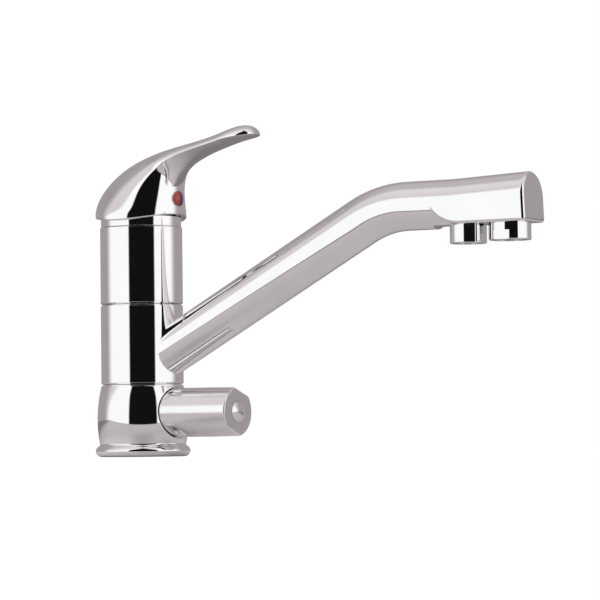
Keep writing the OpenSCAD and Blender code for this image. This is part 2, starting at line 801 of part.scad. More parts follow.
// The cast head: round above, squared below, with a rounded heel and a flat underside
module spout_head() {
    wall_y = spout_r - 0.04;
    block_w = 2 * wall_y;
    block_h = head_drop + spout_r;
    block_l = head_end_x - heel_x + spout_r;
    tube_low_z = spout_level_z - spout_r - past;
    cut_x = heel_x - 0.3;
    color(chrome)
        difference() {
            union() {
                head_axis() bar(spout_r, -shoulder, lift_l);
                intersection() {
                    translate([heel_x - shoulder, 0, head_low_z])
                        rotate([90, 0, 90])
                            linear_extrude(block_l) {
                                translate([-wall_y, head_round]) square([block_w, block_h]);
                                translate([head_round - wall_y, 0])
                                    square([block_w - 2 * head_round, block_h]);
                                for (side = [-1, 1])
                                    translate([side * (wall_y - head_round), head_round])
                                        circle(r = head_round);
                            }
                    translate([0, spout_r, 0]) rotate([90, 0, 0]) linear_extrude(spout_d) head_side();
                }
            }
            translate([head_start_x - spout_r, -spout_d, tube_low_z])
                cube([spout_r, 2 * spout_d, 2 * spout_d]);
            translate([0, spout_r, 0])
                rotate([90, 0, 0])
                    linear_extrude(spout_d)
                        polygon([
                            [heel_x, head_low_z], [head_end_x + spout_r, head_low_z],
                            [head_end_x + spout_r, tube_low_z], [cut_x, tube_low_z]
                        ]);
            translate([0, 0, spout_level_z])
                rotate([0, 90, 0]) bar(spout_bore_r, head_start_x - past, cut_x - shoulder);
            intersection() {
                translate([0, 0, spout_level_z])
                    rotate([0, 90, 0]) bar(spout_bore_r, head_start_x, head_end_x - head_wall);
                translate([head_start_x - past, -spout_r, head_floor_z])
                    cube([head_end_x - head_start_x, spout_d, spout_d]);
            }
            translate([main_reach, 0, 0]) {
                bar(main_neck_r + fit, head_low_z - 2 * past, outlet_seat_z);
                bar(main_neck_r - 2, outlet_seat_z - past, head_floor_z + past);
            }
            translate([filter_x, 0, 0]) {
                bar(nozzle_neck_r + fit, head_low_z - 2 * past, outlet_seat_z);
                bar(line_r + loose, outlet_seat_z - past, head_floor_z + past);
            }
        }
}

// The inner pipe for filtered water, from the collar's lower chamber to the filter nozzle
module filter_line() {
    line_start = (chamber_r + shoulder) / cos(spout_rise);
    color(white_plastic)
        difference() {
            line_bar(line_r, line_start, outlet_seat_z);
            line_bar(line_r - line_wall, line_start - past, outlet_seat_z - past);
        }
}

// A bar along the whole line, which turns down into the nozzle at its end
module line_bar(radius, leg_from, low) {
    turn_x = filter_x - line_bend_r;
    turn_z = line_level_z - line_bend_r;
    spout_bar(radius, line_drop, leg_from, turn_x + bend_lap);
    translate([turn_x, 0, turn_z])
        rotate([90, 0, 0])
            rotate_extrude(angle = 90)
                translate([line_bend_r, 0]) circle(r = radius + bend_step);
    translate([filter_x, 0, 0]) bar(radius, low, turn_z + bend_lap);
}

// Outlets

module outlet_housing(x, outer_d, visible_l, neck_r, flats_turn) {
    outer_r = outer_d / 2;
    low = head_low_z - visible_l;
    neck_top = outlet_seat_z - washer_t;
    flat_at = outer_r * 0.92;
    edge = 0.6;
    color(chrome)
        translate([x, 0, 0])
            difference() {
                union() {
                    sleeve(outer_r, low, head_low_z, edge, edge / 2);
                    bar(neck_r, head_low_z - shoulder, neck_top);
                }
                bar(neck_r - insert_wall, low + shoulder, neck_top + past);
                bar(neck_r - insert_wall - 0.6, low - past, low + 2 * past);
                for (side = [0, 180])
                    rotate([0, 0, side + flats_turn])
                        translate([flat_at, -outer_r, low - past])
                            cube([outer_r, outer_d, past + spanner_h]);
            }
}

// Rows of small holes through an insert, on circles round its axis
module flow_holes(insert_r, low, top) {
    hole_r = 0.8;
    step = 2.4;
    bar(hole_r, low - past, top + past);
    for (circle_r = [step : step : insert_r - hole_r - 0.5])
        let (count = floor(2 * PI * circle_r / step))
        for (i = [0 : count - 1])
            rotate([0, 0, i * 360 / count]) translate([circle_r, 0, 0]) bar(hole_r, low - past, top + past);
}

module outlet_insert(x, visible_l, neck_r) {
    insert_r = neck_r - insert_wall - fit;
    low = head_low_z - visible_l + shoulder;
    top = outlet_seat_z - washer_t;
    screen_t = 2.5;
    color(white_plastic)
        translate([x, 0, 0])
            difference() {
                bar(insert_r, low, top);
                bar(insert_r - 1, low + screen_t, top + past);
                flow_holes(insert_r, low, low + screen_t);
            }
}

module outlet_washer(x, neck_r, hole_r) {
    color(rubber) translate([x, 0, 0]) ring(neck_r, hole_r, outlet_seat_z - washer_t, outlet_seat_z);
}

module main_aerator_housing() {
    outlet_housing(main_reach, main_d, main_l, main_neck_r, 90);
}

module main_aerator_insert() {
    outlet_insert(main_reach, main_l, main_neck_r);
}

module main_aerator_washer() {
    outlet_washer(main_reach, main_neck_r, main_neck_r - 2);
}

module filter_nozzle_housing() {
    outlet_housing(filter_x, nozzle_d, nozzle_l, nozzle_neck_r, 0);
}

module filter_nozzle_insert() {
    outlet_insert(filter_x, nozzle_l, nozzle_neck_r);
}

module filter_nozzle_washer() {
    outlet_washer(filter_x, nozzle_neck_r, line_r);
}

// Filter valve

module valve_headwork() {
    groove_r = valve_bore_r - 1.1;
    window_w = 3;
    color(brass)
        valve_axis()
            difference() {
                union() {
                    bar(valve_bore_r - fit, valve_seat_x + 0.3, knob_seat_x);
                    translate([0, 0, knob_seat_x])
                        cylinder(r = headwork_flats / 2 / cos(30), h = headwork_hex_t, $fn = 6);
                    bar(valve_spindle_r + 2.4, knob_seat_x, headwork_neck_end);
                }
                ring(valve_bore_r + past, groove_r, x_valve_fixed + 0.5, x_valve_flange + 0.5);
                bar(valve_disc_r + 2 * fit, valve_seat_x - past, x_valve_neck);
                bar(valve_spindle_r + turn_clear, valve_seat_x, headwork_neck_end + past);
                for (side = [0, 180])
                    rotate([0, 0, side])
                        translate([0, -window_w / 2, x_valve_moving])
                            cube([valve_bore_r + past, window_w, valve_disc_t]);
                headwork_groove();
            }
}

headwork_seal_d = 1.6;
headwork_seal_x = knob_seat_x - headwork_seal_d - 0.6;

module headwork_groove() {
    half = headwork_seal_d / 2 + 0.1;
    floor_r = valve_bore_r - fit - headwork_seal_d;
    ring(valve_bore_r + past, floor_r, headwork_seal_x - half, headwork_seal_x + half);
}

module headwork_o_ring() {
    color(rubber)
        valve_axis()
            translate([0, 0, headwork_seal_x])
                rotate_extrude()
                    translate([valve_bore_r - fit - headwork_seal_d / 2, 0])
                        circle(r = headwork_seal_d / 2, $fn = 32);
}

module valve_seat_seal() {
    color(rubber)
        valve_axis() ring(valve_disc_r, waterway_r, valve_seat_x, x_valve_fixed);
}

// The shape of a valve disc's two ports: opposite quarters, cut away
module valve_ports(low, top) {
    for (side = [0, 180])
        rotate([0, 0, side])
            translate([valve_disc_r * 0.3, 0, 0]) intersection() {
                bar(valve_disc_r * 0.36, low - past, top + past);
                translate([-valve_disc_r, 0, low - 2 * past])
                    cube([2 * valve_disc_r, valve_disc_r, top - low + 4 * past]);
            }
}

module valve_fixed_disc() {
    color(ceramic)
        valve_axis()
            difference() {
                bar(valve_disc_r, x_valve_fixed, x_valve_moving);
                valve_ports(x_valve_fixed, x_valve_moving);
            }
}

module valve_moving_disc() {
    color(ceramic)
        valve_axis()
            difference() {
                bar(valve_disc_r - fit, x_valve_moving, x_valve_flange);
                rotate([0, 0, 90]) valve_ports(x_valve_moving, x_valve_flange);
            }
}

module valve_spindle() {
    color(brass)
        valve_axis()
            difference() {
                union() {
                    bar(valve_disc_r - fit, x_valve_flange, x_valve_flange + valve_flange_t);
                    bar(valve_spindle_r, x_valve_flange, spindle_end_x);
                }
                bar(knob_screw_r + fit, spindle_end_x - knob_screw_l - shoulder, spindle_end_x + past);
            }
}

module knob() {
    end_round = 0.8;
    taper = atan(flat_depth / flat_l);
    color(chrome)
        valve_axis()
            difference() {
                rotate_extrude() {
                    square_top = knob_end - end_round;
                    translate([0, knob_low_x]) square([knob_r, square_top - knob_low_x]);
                    translate([0, square_top]) square([knob_r - end_round, end_round]);
                    translate([knob_r - end_round, square_top]) circle(r = end_round);
                }
                for (side = [0, 180])
                    rotate([0, 0, -knob_tilt + side])
                        translate([-knob_r, -knob_r, flat_runout_x])
                            rotate([0, taper, 0])
                                translate([-knob_d, 0, 0]) cube([knob_d, knob_d, knob_d * 2]);
                bar(knob_r - 2.5, knob_low_x - past, knob_cavity_end);
                bar(valve_spindle_r + fit, knob_low_x, spindle_end_x);
                bar(knob_screw_r + 0.2, knob_low_x, knob_end);
                bar(button_r + 0.1, knob_floor_x, knob_end + past);
            }
}

module knob_screw() {
    color(steel)
        valve_axis()
            difference() {
                union() {
                    bar(knob_screw_r, spindle_end_x - knob_screw_l, knob_floor_x);
                    bar(knob_screw_head_r, knob_floor_x, knob_floor_x + knob_screw_head_t);
                }
                translate([-knob_screw_head_r, -0.5, knob_floor_x + knob_screw_head_t - 1.2])
                    cube([2 * knob_screw_head_r, 1, 2]);
            }
}

module knob_button() {
    dome_r = (button_r * button_r + button_dome * button_dome) / (2 * button_dome);
    low = knob_floor_x;
    color(chrome)
        valve_axis()
            difference() {
                union() {
                    bar(button_r, low, knob_end);
                    intersection() {
                        bar(button_r, knob_end, knob_end + button_dome + past);
                        translate([0, 0, knob_end + button_dome - dome_r]) sphere(r = dome_r);
                    }
                }
                bar(knob_screw_head_r + 0.6, low - past, low + knob_screw_head_t + 0.6);
            }
}

base_ring();
base_gasket();
base_body();
lower_slip_ring();
upper_slip_ring();
collar_o_rings();
upper_body();
trim_ring();
cartridge_seals();
cartridge_base();
fixed_disc();
cartridge_housing();
cartridge_nut();
valve_headwork();
headwork_o_ring();
valve_seat_seal();
valve_fixed_disc();
swivel() spout_collar();
swivel() spout_tube();
swivel() spout_head();
swivel() filter_line();
swivel() main_aerator_housing();
swivel() main_aerator_insert();
swivel() main_aerator_washer();
swivel() filter_nozzle_housing();
swivel() filter_nozzle_insert();
swivel() filter_nozzle_washer();
cartridge_rotor();
lever_pin();
disc_carrier();
moving_disc();
spindle();
lever_handle();
lever_screw();
hot_index();
cold_index();
knob();
knob_screw();
knob_button();
valve_spindle();
valve_moving_disc();
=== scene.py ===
"""Three-way kitchen tap: smooth chrome shells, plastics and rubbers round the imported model, in a studio.

Lengths are written in millimetres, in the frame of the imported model, and turn into metres when a mesh is made.
"""

from __future__ import annotations

import json
import logging
import math
from dataclasses import dataclass, field, replace
from enum import Enum
from typing import Any, Sequence

import bmesh
import bpy
import numpy as np
from mathutils import Matrix, Vector

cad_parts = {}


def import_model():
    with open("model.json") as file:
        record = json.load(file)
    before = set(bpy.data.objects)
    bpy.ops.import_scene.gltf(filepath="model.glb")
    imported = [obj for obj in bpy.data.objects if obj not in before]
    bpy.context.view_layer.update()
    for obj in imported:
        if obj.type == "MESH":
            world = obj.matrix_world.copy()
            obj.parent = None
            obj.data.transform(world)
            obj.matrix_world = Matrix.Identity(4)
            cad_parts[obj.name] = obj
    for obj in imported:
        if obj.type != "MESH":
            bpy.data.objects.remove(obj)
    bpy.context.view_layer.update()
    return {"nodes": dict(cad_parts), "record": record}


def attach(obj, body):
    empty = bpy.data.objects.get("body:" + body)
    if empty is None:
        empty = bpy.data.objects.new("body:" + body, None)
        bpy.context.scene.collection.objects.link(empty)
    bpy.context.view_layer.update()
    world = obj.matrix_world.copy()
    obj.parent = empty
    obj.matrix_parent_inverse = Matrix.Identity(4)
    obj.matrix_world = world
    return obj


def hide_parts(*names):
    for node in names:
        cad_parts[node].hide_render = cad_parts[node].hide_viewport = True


Array = np.ndarray
Span = tuple[float, float]
Colour = tuple[float, float, float]

MM = 0.001
WELD = 2e-6
SHARP = math.radians(36)
SUPPORT = 0.06
TINY = 1e-3
FULL_TURN = 2.0 * np.pi
QUARTER_TURN = np.pi / 2.0
BLACK = (0.0, 0.0, 0.0)
WHITE = (1.0, 1.0, 1.0)

log = logging.getLogger("tap")


class Body(str, Enum):
    """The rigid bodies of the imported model."""

    BASE = "base"
    SPOUT = "spout"
    LEVER = "lever"
    KNOB = "filter_knob"


# Curves and sections


def smooth_step(t: Array) -> Array:
    """Runs from 0 to 1 with level ends: 3u^2 - 2u^3, with u held between 0 and 1."""
    u = np.clip(t, 0.0, 1.0)
    return u * u * (3.0 - 2.0 * u)


def smoother_step(t: Array) -> Array:
    """Runs from 0 to 1 with level, uncurved ends: 6u^5 - 15u^4 + 10u^3, with u held between 0 and 1."""
    u = np.clip(t, 0.0, 1.0)
    return u**3 * (10.0 - 15.0 * u + 6.0 * u * u)


@dataclass(frozen=True)
class Ramp:
    """A rise from 0 to 1 along a loft: a step of rate * t - lag."""

    rate: float
    lag: float = 0.0

    def smooth(self, t: Array) -> Array:
        """The rise with level ends, as a column."""
        return smooth_step(self.rate * t - self.lag)[:, None]

    def smoother(self, t: Array) -> Array:
        """The rise with level, uncurved ends, as a column."""
        return smoother_step(self.rate * t - self.lag)[:, None]


def soft_min(a: Array, b: Array, reach: Any) -> Array:
    """The smaller of two values, rounded over by a parabola where they differ by less than reach."""
    h = np.maximum(reach - np.abs(a - b), 0.0) / reach
    return np.minimum(a, b) - h * h * reach / 4.0


def turn_angles(count: int) -> Array:
    """Angles of a full turn, in equal steps, the last one short of the first."""
    return np.linspace(0.0, FULL_TURN, count, endpoint=False)


def arc(centre: Sequence[float], radius: float, start: float, end: float, count: int = 16) -> Array:
    """Points on a circle: centre + radius * (cos a, sin a), with a in degrees from start to end."""
    a = np.radians(np.linspace(start, end, count))
    return np.asarray(centre) + radius * np.stack([np.cos(a), np.sin(a)], -1)


def straight(start: Sequence[float], end: Sequence[float], count: int = 6, support: float = SUPPORT) -> Array:
    """Points on a line, with one close to each end so that shading stays flat between them.

    Args:
        start: First point.
        end: Last point.
        count: Number of points between the two ends.
        support: Distance of the outer ones of these points from the ends.

    Returns:
        The points, both ends included.
    """
    first, last = np.asarray(start, float), np.asarray(end, float)
    near = min(0.3, support / max(np.linalg.norm(last - first), 1e-9))
    share = np.concatenate([[0.0], np.linspace(near, 1.0 - near, count), [1.0]])
    return first + share[:, None] * (last - first)


def dome(radius: float, rise: float, count: int) -> Array:
    """Profile of a shallow dome from crown to rim: height = rise - ball + sqrt(ball^2 - r^2).

    The ball's radius is (radius^2 + rise^2) / (2 * rise).

    Args:
        radius: Radius of the rim.
        rise: Height of the crown over the rim.
        count: Number of points.

    Returns:
        Points of (radius, height), count x 2.
    """
    ball = (radius**2 + rise**2) / (2.0 * rise)
    r = radius * np.sin(np.linspace(0.0, QUARTER_TURN, count))
    return np.stack([r, rise - ball + np.sqrt(ball**2 - r**2)], -1)


def rounded(corners: Sequence[tuple[float, float, float]], steps: int = 7) -> Array:
    """A closed outline whose corners are rounded by circles that touch both of their sides.

    Each corner's circle lies on the line that halves the corner, at radius / sin(half angle), and its arc runs
    between the two points at radius / tan(half angle) along the sides.

    Args:
        corners: Corners in order, each (across, along, radius).
        steps: Points on each arc.

    Returns:
        The outline's points, without a repeat of the first.
    """
    table = np.asarray(corners, float)
    point, radius = table[:, :2], np.maximum(table[:, 2], 1e-6)
    back = np.roll(point, 1, 0) - point
    ahead = np.roll(point, -1, 0) - point
    back /= np.linalg.norm(back, axis=1, keepdims=True)
    ahead /= np.linalg.norm(ahead, axis=1, keepdims=True)
    half = np.arccos(np.clip((back * ahead).sum(1), -1.0, 1.0)) / 2.0
    middle = back + ahead
    middle /= np.linalg.norm(middle, axis=1, keepdims=True)
    centre = point + middle * (radius / np.sin(half))[:, None]
    first = point + back * (radius / np.tan(half))[:, None] - centre
    last = point + ahead * (radius / np.tan(half))[:, None] - centre
    start = np.arctan2(first[:, 1], first[:, 0])
    sweep = np.arctan2(last[:, 1], last[:, 0]) - start
    sweep = (sweep + np.pi) % FULL_TURN - np.pi
    angle = start[:, None] + sweep[:, None] * np.linspace(0.0, 1.0, steps)
    arcs = centre[:, None] + radius[:, None, None] * np.stack([np.cos(angle), np.sin(angle)], -1)
    sides = [straight(a[-1], b[0])[1:-1] for a, b in zip(arcs, np.roll(arcs, -1, 0))]
    return np.concatenate([np.concatenate([a, s]) for a, s in zip(arcs, sides)])


def xyz(x: Any, y: Any, z: Any) -> Array:
    """Points from their three coordinates, which are spread to one shape."""
    return np.stack(np.broadcast_arrays(x, y, z), -1)


def turned(profile: Array, angle: Array) -> Array:
    """Carries an n x 2 profile of (radius, height) round Z: x = r cos a, y = r sin a, z = height."""
    radius, height = profile[:, :1], profile[:, 1:]
    return xyz(radius * np.cos(angle), radius * np.sin(angle), height)


def lathe(profile: Array, turns: int = 200) -> Array:
    """Carries a profile round the Z axis in equal steps of a full turn."""
    return turned(profile, turn_angles(turns))


def facing_front(points: Array, x: float, z: float) -> Array:
    """Tips what is built round Z so that it faces +X, with its origin at x and z."""
    return xyz(points[..., 2] + x, points[..., 1], z - points[..., 0])


def bezier_chain(curves: Array, t: Array) -> Array:
    """Points on a chain of cubic curves, four control points each, over t from 0 to 1 in equal shares.

    Args:
        curves: Control points, one row of four for each curve.
        t: Places along the chain.

    Returns:
        One point for each place.
    """
    count = len(curves)
    i = np.minimum((t * count).astype(int), count - 1)
    u = (t * count - i)[:, None]
    p = curves[i]
    s = 1.0 - u
    return s**3 * p[:, 0] + 3 * s * s * u * p[:, 1] + 3 * s * u * u * p[:, 2] + u**3 * p[:, 3]


# Meshes


def linked(name: str, data: bpy.types.ID) -> bpy.types.Object:
    """Puts data into the scene as an object at the origin.

    Args:
        name: Name of the object.
        data: Its mesh or camera.

    Returns:
        The new object.
    """
    made = bpy.data.objects.new(name, data)
    bpy.context.scene.collection.objects.link(made)
    return made


@dataclass
class Shell:
    """Sheets of points that close into one skin, in millimetres."""

    name: str
    sheets: list[tuple[Array, Array]] = field(default_factory=list)

    def grid(self, points: Array, ring: bool = False, loop: bool = False) -> None:
        """Adds a sheet of quads over a grid of points.

        Args:
            points: Rows x columns x 3.
            ring: The last column joins the first.
            loop: The last row joins the first.
        """
        rows, columns = points.shape[:2]
        index = np.arange(rows * columns).reshape(rows, columns)
        index = np.hstack([index, index[:, :1]]) if ring else index
        index = np.vstack([index, index[:1]]) if loop else index
        quads = np.stack([index[:-1, :-1], index[:-1, 1:], index[1:, 1:], index[1:, :-1]], -1)
        self.sheets.append((points.reshape(-1, 3), quads.reshape(-1, 4)))

    @classmethod
    def of(cls, name: str, points: Array, loop: bool = False) -> "Shell":
        """A shell that starts with one sheet of rings.

        Args:
            name: Name of the piece.
            points: Rows x columns x 3.
            loop: The last row joins the first.

        Returns:
            The new shell.
        """
        made = cls(name)
        made.grid(points, ring=True, loop=loop)
        return made

    def cap(self, edge: Array, inner: float) -> None:
        """Closes a ring of points towards its middle, with one ring of support close to the edge."""
        middle = np.broadcast_to(edge.mean(0), edge.shape)
        self.grid(np.stack([edge, middle + inner * (edge - middle), middle]), ring=True)

    def mesh(self) -> bpy.types.Mesh:
        """Welds the sheets into one mesh whose faces point outward.

        Returns:
            The mesh, in metres.
        """
        counts = np.cumsum([0] + [len(p) for p, _ in self.sheets])
        points = np.concatenate([p for p, _ in self.sheets]) * MM
        faces = np.concatenate([f + n for (_, f), n in zip(self.sheets, counts)])
        made = bpy.data.meshes.new(self.name)
        made.from_pydata(points.tolist(), [], faces.tolist())
        work = bmesh.new()
        work.from_mesh(made)
        bmesh.ops.remove_doubles(work, verts=work.verts, dist=WELD)
        bmesh.ops.dissolve_degenerate(work, edges=work.edges, dist=WELD / 4.0)
        bmesh.ops.recalc_face_normals(work, faces=work.faces)
        open_edges = sum(1 for edge in work.edges if not edge.is_manifold)
        work.to_mesh(made)
        work.free()
        log.info("%s: %d faces, %d open edges", self.name, len(made.polygons), open_edges)
        return made

    def build(self, body: Body, slot: str, material: bpy.types.Material, *nodes: str) -> bpy.types.Object:
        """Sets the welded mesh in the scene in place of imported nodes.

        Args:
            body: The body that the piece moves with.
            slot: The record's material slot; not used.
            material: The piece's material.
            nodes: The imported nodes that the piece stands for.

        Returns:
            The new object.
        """
        mesh = self.mesh()
        mesh.polygons.foreach_set("use_smooth", np.ones(len(mesh.polygons), bool))
        mesh.set_sharp_from_angle(angle=SHARP)
        mesh.materials.append(material)
        piece = linked(self.name, mesh)
        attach(piece, body.value)
        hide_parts(*nodes)
        log.info("%s: rides on %s", self.name, body.value)
        return piece


# Shader arithmetic


class Value:
    """A shader socket that takes part in Python arithmetic through Math nodes."""

    def __init__(self, nodes: "Nodes", socket: bpy.types.NodeSocket) -> None:
        """Keeps the tree and the socket."""
        self.nodes = nodes
        self.socket = socket

    def math(self, operation: str, *others: Any) -> "Value":
        """Adds a Math node with this value first and returns its result."""
        made = self.nodes.add("ShaderNodeMath", {"operation": operation}, dict(enumerate((self, *others))))
        return Value(self.nodes, made.outputs[0])

    def __add__(self, other: Any) -> "Value":
        """self + other."""
        return self.math("ADD", other)

    __radd__ = __add__

    def __sub__(self, other: Any) -> "Value":
        """self - other."""
        return self.math("SUBTRACT", other)

    def __rsub__(self, other: Any) -> "Value":
        """other - self."""
        return self * -1.0 + other

    def __mul__(self, other: Any) -> "Value":
        """self * other."""
        return self.math("MULTIPLY", other)

    __rmul__ = __mul__

    def __truediv__(self, other: Any) -> "Value":
        """self / other."""
        return self.math("DIVIDE", other)

    def between(self, low: float, high: float) -> "Value":
        """A smooth rise from 0 at low to 1 at high.

        Args:
            low: Where the rise begins.
            high: Where it ends.

        Returns:
            The result.
        """
        inputs = {"Value": self, "From Min": low, "From Max": high}
        made = self.nodes.add("ShaderNodeMapRange", {"interpolation_type": "SMOOTHSTEP"}, inputs)
        return Value(self.nodes, made.outputs[0])


def rgba(colour: Colour) -> tuple[float, float, float, float]:
    """A colour with full alpha."""
    return (*colour, 1.0)


@dataclass
class Nodes:
    """A node tree that is filled by one method."""

    tree: bpy.types.NodeTree

    @classmethod
    def of(cls, owner: bpy.types.Material | bpy.types.World) -> "Nodes":
        """The emptied tree of a material or a world.

        Args:
            owner: The material or world.

        Returns:
            The tree, ready to be filled.
        """
        owner.use_nodes = True
        owner.node_tree.nodes.clear()
        return cls(owner.node_tree)

    def add(self, kind: str, settings: dict[str, Any], inputs: dict[Any, Any]) -> bpy.types.Node:
        """Adds a node, sets it up and links its sockets.

        Args:
            kind: The node's type.
            settings: Properties of the node.
            inputs: Values, or sockets to link, by name or number of the input.

        Returns:
            The new node.
        """
        made = self.tree.nodes.new(kind)
        for name, value in settings.items():
            setattr(made, name, value)
        for name, value in inputs.items():
            if isinstance(value, Value):
                self.tree.links.new(value.socket, made.inputs[name])
            elif isinstance(value, bpy.types.NodeSocket):
                self.tree.links.new(value, made.inputs[name])
            else:
                made.inputs[name].default_value = value
        return made

    def value(self, node: bpy.types.Node, output: Any = 0) -> Value:
        """One output of a node, ready for arithmetic."""
        return Value(self, node.outputs[output])

    def place(self, kind: str) -> list[Value]:
        """The three coordinates of a shaded point, of the kind that a Texture Coordinate node names.

        Args:
            kind: Object or Generated.

        Returns:
            The coordinates x, y and z.
        """
        whole = self.add("ShaderNodeTexCoord", {}, {}).outputs[kind]
        split = self.add("ShaderNodeSeparateXYZ", {}, {0: whole})
        return [self.value(split, i) for i in range(3)]

    def mix(self, share: Any, low: Colour, high: Colour) -> bpy.types.NodeSocket:
        """A colour between low and high."""
        made = self.add("ShaderNodeMix", {"data_type": "RGBA"}, {"Factor": share, 6: rgba(low), 7: rgba(high)})
        return made.outputs[2]

    def blend(self, share: Any, first: bpy.types.Node, second: bpy.types.Node) -> bpy.types.Node:
        """A shader between two shaders."""
        return self.add("ShaderNodeMixShader", {}, {0: share, 1: first.outputs[0], 2: second.outputs[0]})

    def noise(self, scale: float, detail: float = 3.0, stretch: Sequence[float] = (1.0, 1.0, 1.0)) -> Value:
        """Noise on Object coordinates, around 0.5, with scale features per metre.

        Args:
            scale: Features per metre.
            detail: Finer octaves.
            stretch: Scale along each axis.

        Returns:
            The noise value.
        """
        place = self.add("ShaderNodeTexCoord", {}, {}).outputs["Object"]
        scaled = self.add("ShaderNodeMapping", {}, {"Vector": place, "Scale": stretch})
        inputs = {"Vector": scaled.outputs[0], "Scale": scale, "Detail": detail}
        return self.value(self.add("ShaderNodeTexNoise", {}, inputs))


@dataclass(frozen=True)
class Finish:
    """A surface finish: two close shades, a range of roughness and a fine relief."""

    name: str
    shade: Colour
    other_shade: Colour
    roughness: Span
    metallic: float = 0.0
    patch: float = 90.0
    patch_span: Span = (0.3, 0.7)
    patch_share: float = 0.6
    grain: float = 2500.0
    stretch: tuple[float, float, float] = (1.0, 1.0, 1.0)
    relief: float = 0.05
    relief_height: float = 0.00002
    coat: float = 0.0
    specular: float = 0.5

    def material(self) -> bpy.types.Material:
        """Builds the material: broad patches move the shade and roughness, a fine grain gives the relief.

        Returns:
            The new material.
        """
        made = bpy.data.materials.new(self.name)
        nodes = Nodes.of(made)
        patches = nodes.noise(self.patch).between(*self.patch_span)
        grain = nodes.noise(self.grain, 2.0, self.stretch)
        low, high = self.roughness
        rough = self.patch_share * patches + (1.0 - self.patch_share) * grain
        relief = {"Strength": self.relief, "Distance": self.relief_height, "Height": grain}
        bump = nodes.add("ShaderNodeBump", {}, relief)
        shader = nodes.add("ShaderNodeBsdfPrincipled", {}, {
            "Base Color": nodes.mix(patches, self.shade, self.other_shade),
            "Roughness": low + (high - low) * rough,
            "Metallic": self.metallic,
            "Specular IOR Level": self.specular,
            "Coat Weight": self.coat,
            "Normal": bump.outputs[0],
        })
        nodes.add("ShaderNodeOutputMaterial", {}, {"Surface": shader.outputs[0]})
        return made


CHROME = Finish(
    "mirror_chrome", (0.925, 0.925, 0.93), (0.905, 0.908, 0.918), (0.012, 0.035), metallic=1.0, patch=60.0,
    grain=1400.0, relief=0.012, relief_height=0.000004,
)
RED = Finish(
    "red_index", (0.46, 0.055, 0.025), (0.40, 0.045, 0.02), (0.12, 0.24), grain=1800.0, relief=0.05, coat=0.3,
)
FINISHES: dict[str, Finish] = {
    "chrome": CHROME,
    "satin_chrome": replace(CHROME, name="satin_chrome", roughness=(0.15, 0.19)),
    "brass": Finish(
        "turned_brass", (0.78, 0.60, 0.30), (0.70, 0.52, 0.25), (0.2, 0.36), metallic=1.0, grain=3000.0,
        stretch=(1.0, 1.0, 9.0), relief=0.2,
    ),
    "rubber": Finish(
        "moulded_rubber", (0.022, 0.022, 0.024), (0.034, 0.034, 0.036), (0.5, 0.72), relief=0.3, specular=0.35,
    ),
    "white_plastic": Finish(
        "white_moulding", (0.80, 0.80, 0.77), (0.76, 0.76, 0.73), (0.34, 0.46), relief=0.12,
    ),
    "grey_plastic": Finish(
        "grey_moulding", (0.28, 0.29, 0.31), (0.24, 0.25, 0.27), (0.34, 0.48), relief=0.15,
    ),
    "ceramic": Finish(
        "lapped_ceramic", (0.86, 0.85, 0.80), (0.82, 0.81, 0.76), (0.08, 0.16), relief=0.03, coat=0.4,
    ),
    "steel": Finish(
        "stainless_steel", (0.60, 0.60, 0.61), (0.53, 0.53, 0.55), (0.2, 0.34), metallic=1.0,
        stretch=(1.0, 9.0, 1.0), relief=0.15,
    ),
    "red_plastic": RED,
    "blue_plastic": replace(
        RED, name="blue_index", shade=(0.012, 0.02, 0.17), other_shade=(0.009, 0.016, 0.14),
    ),
}


# The tap


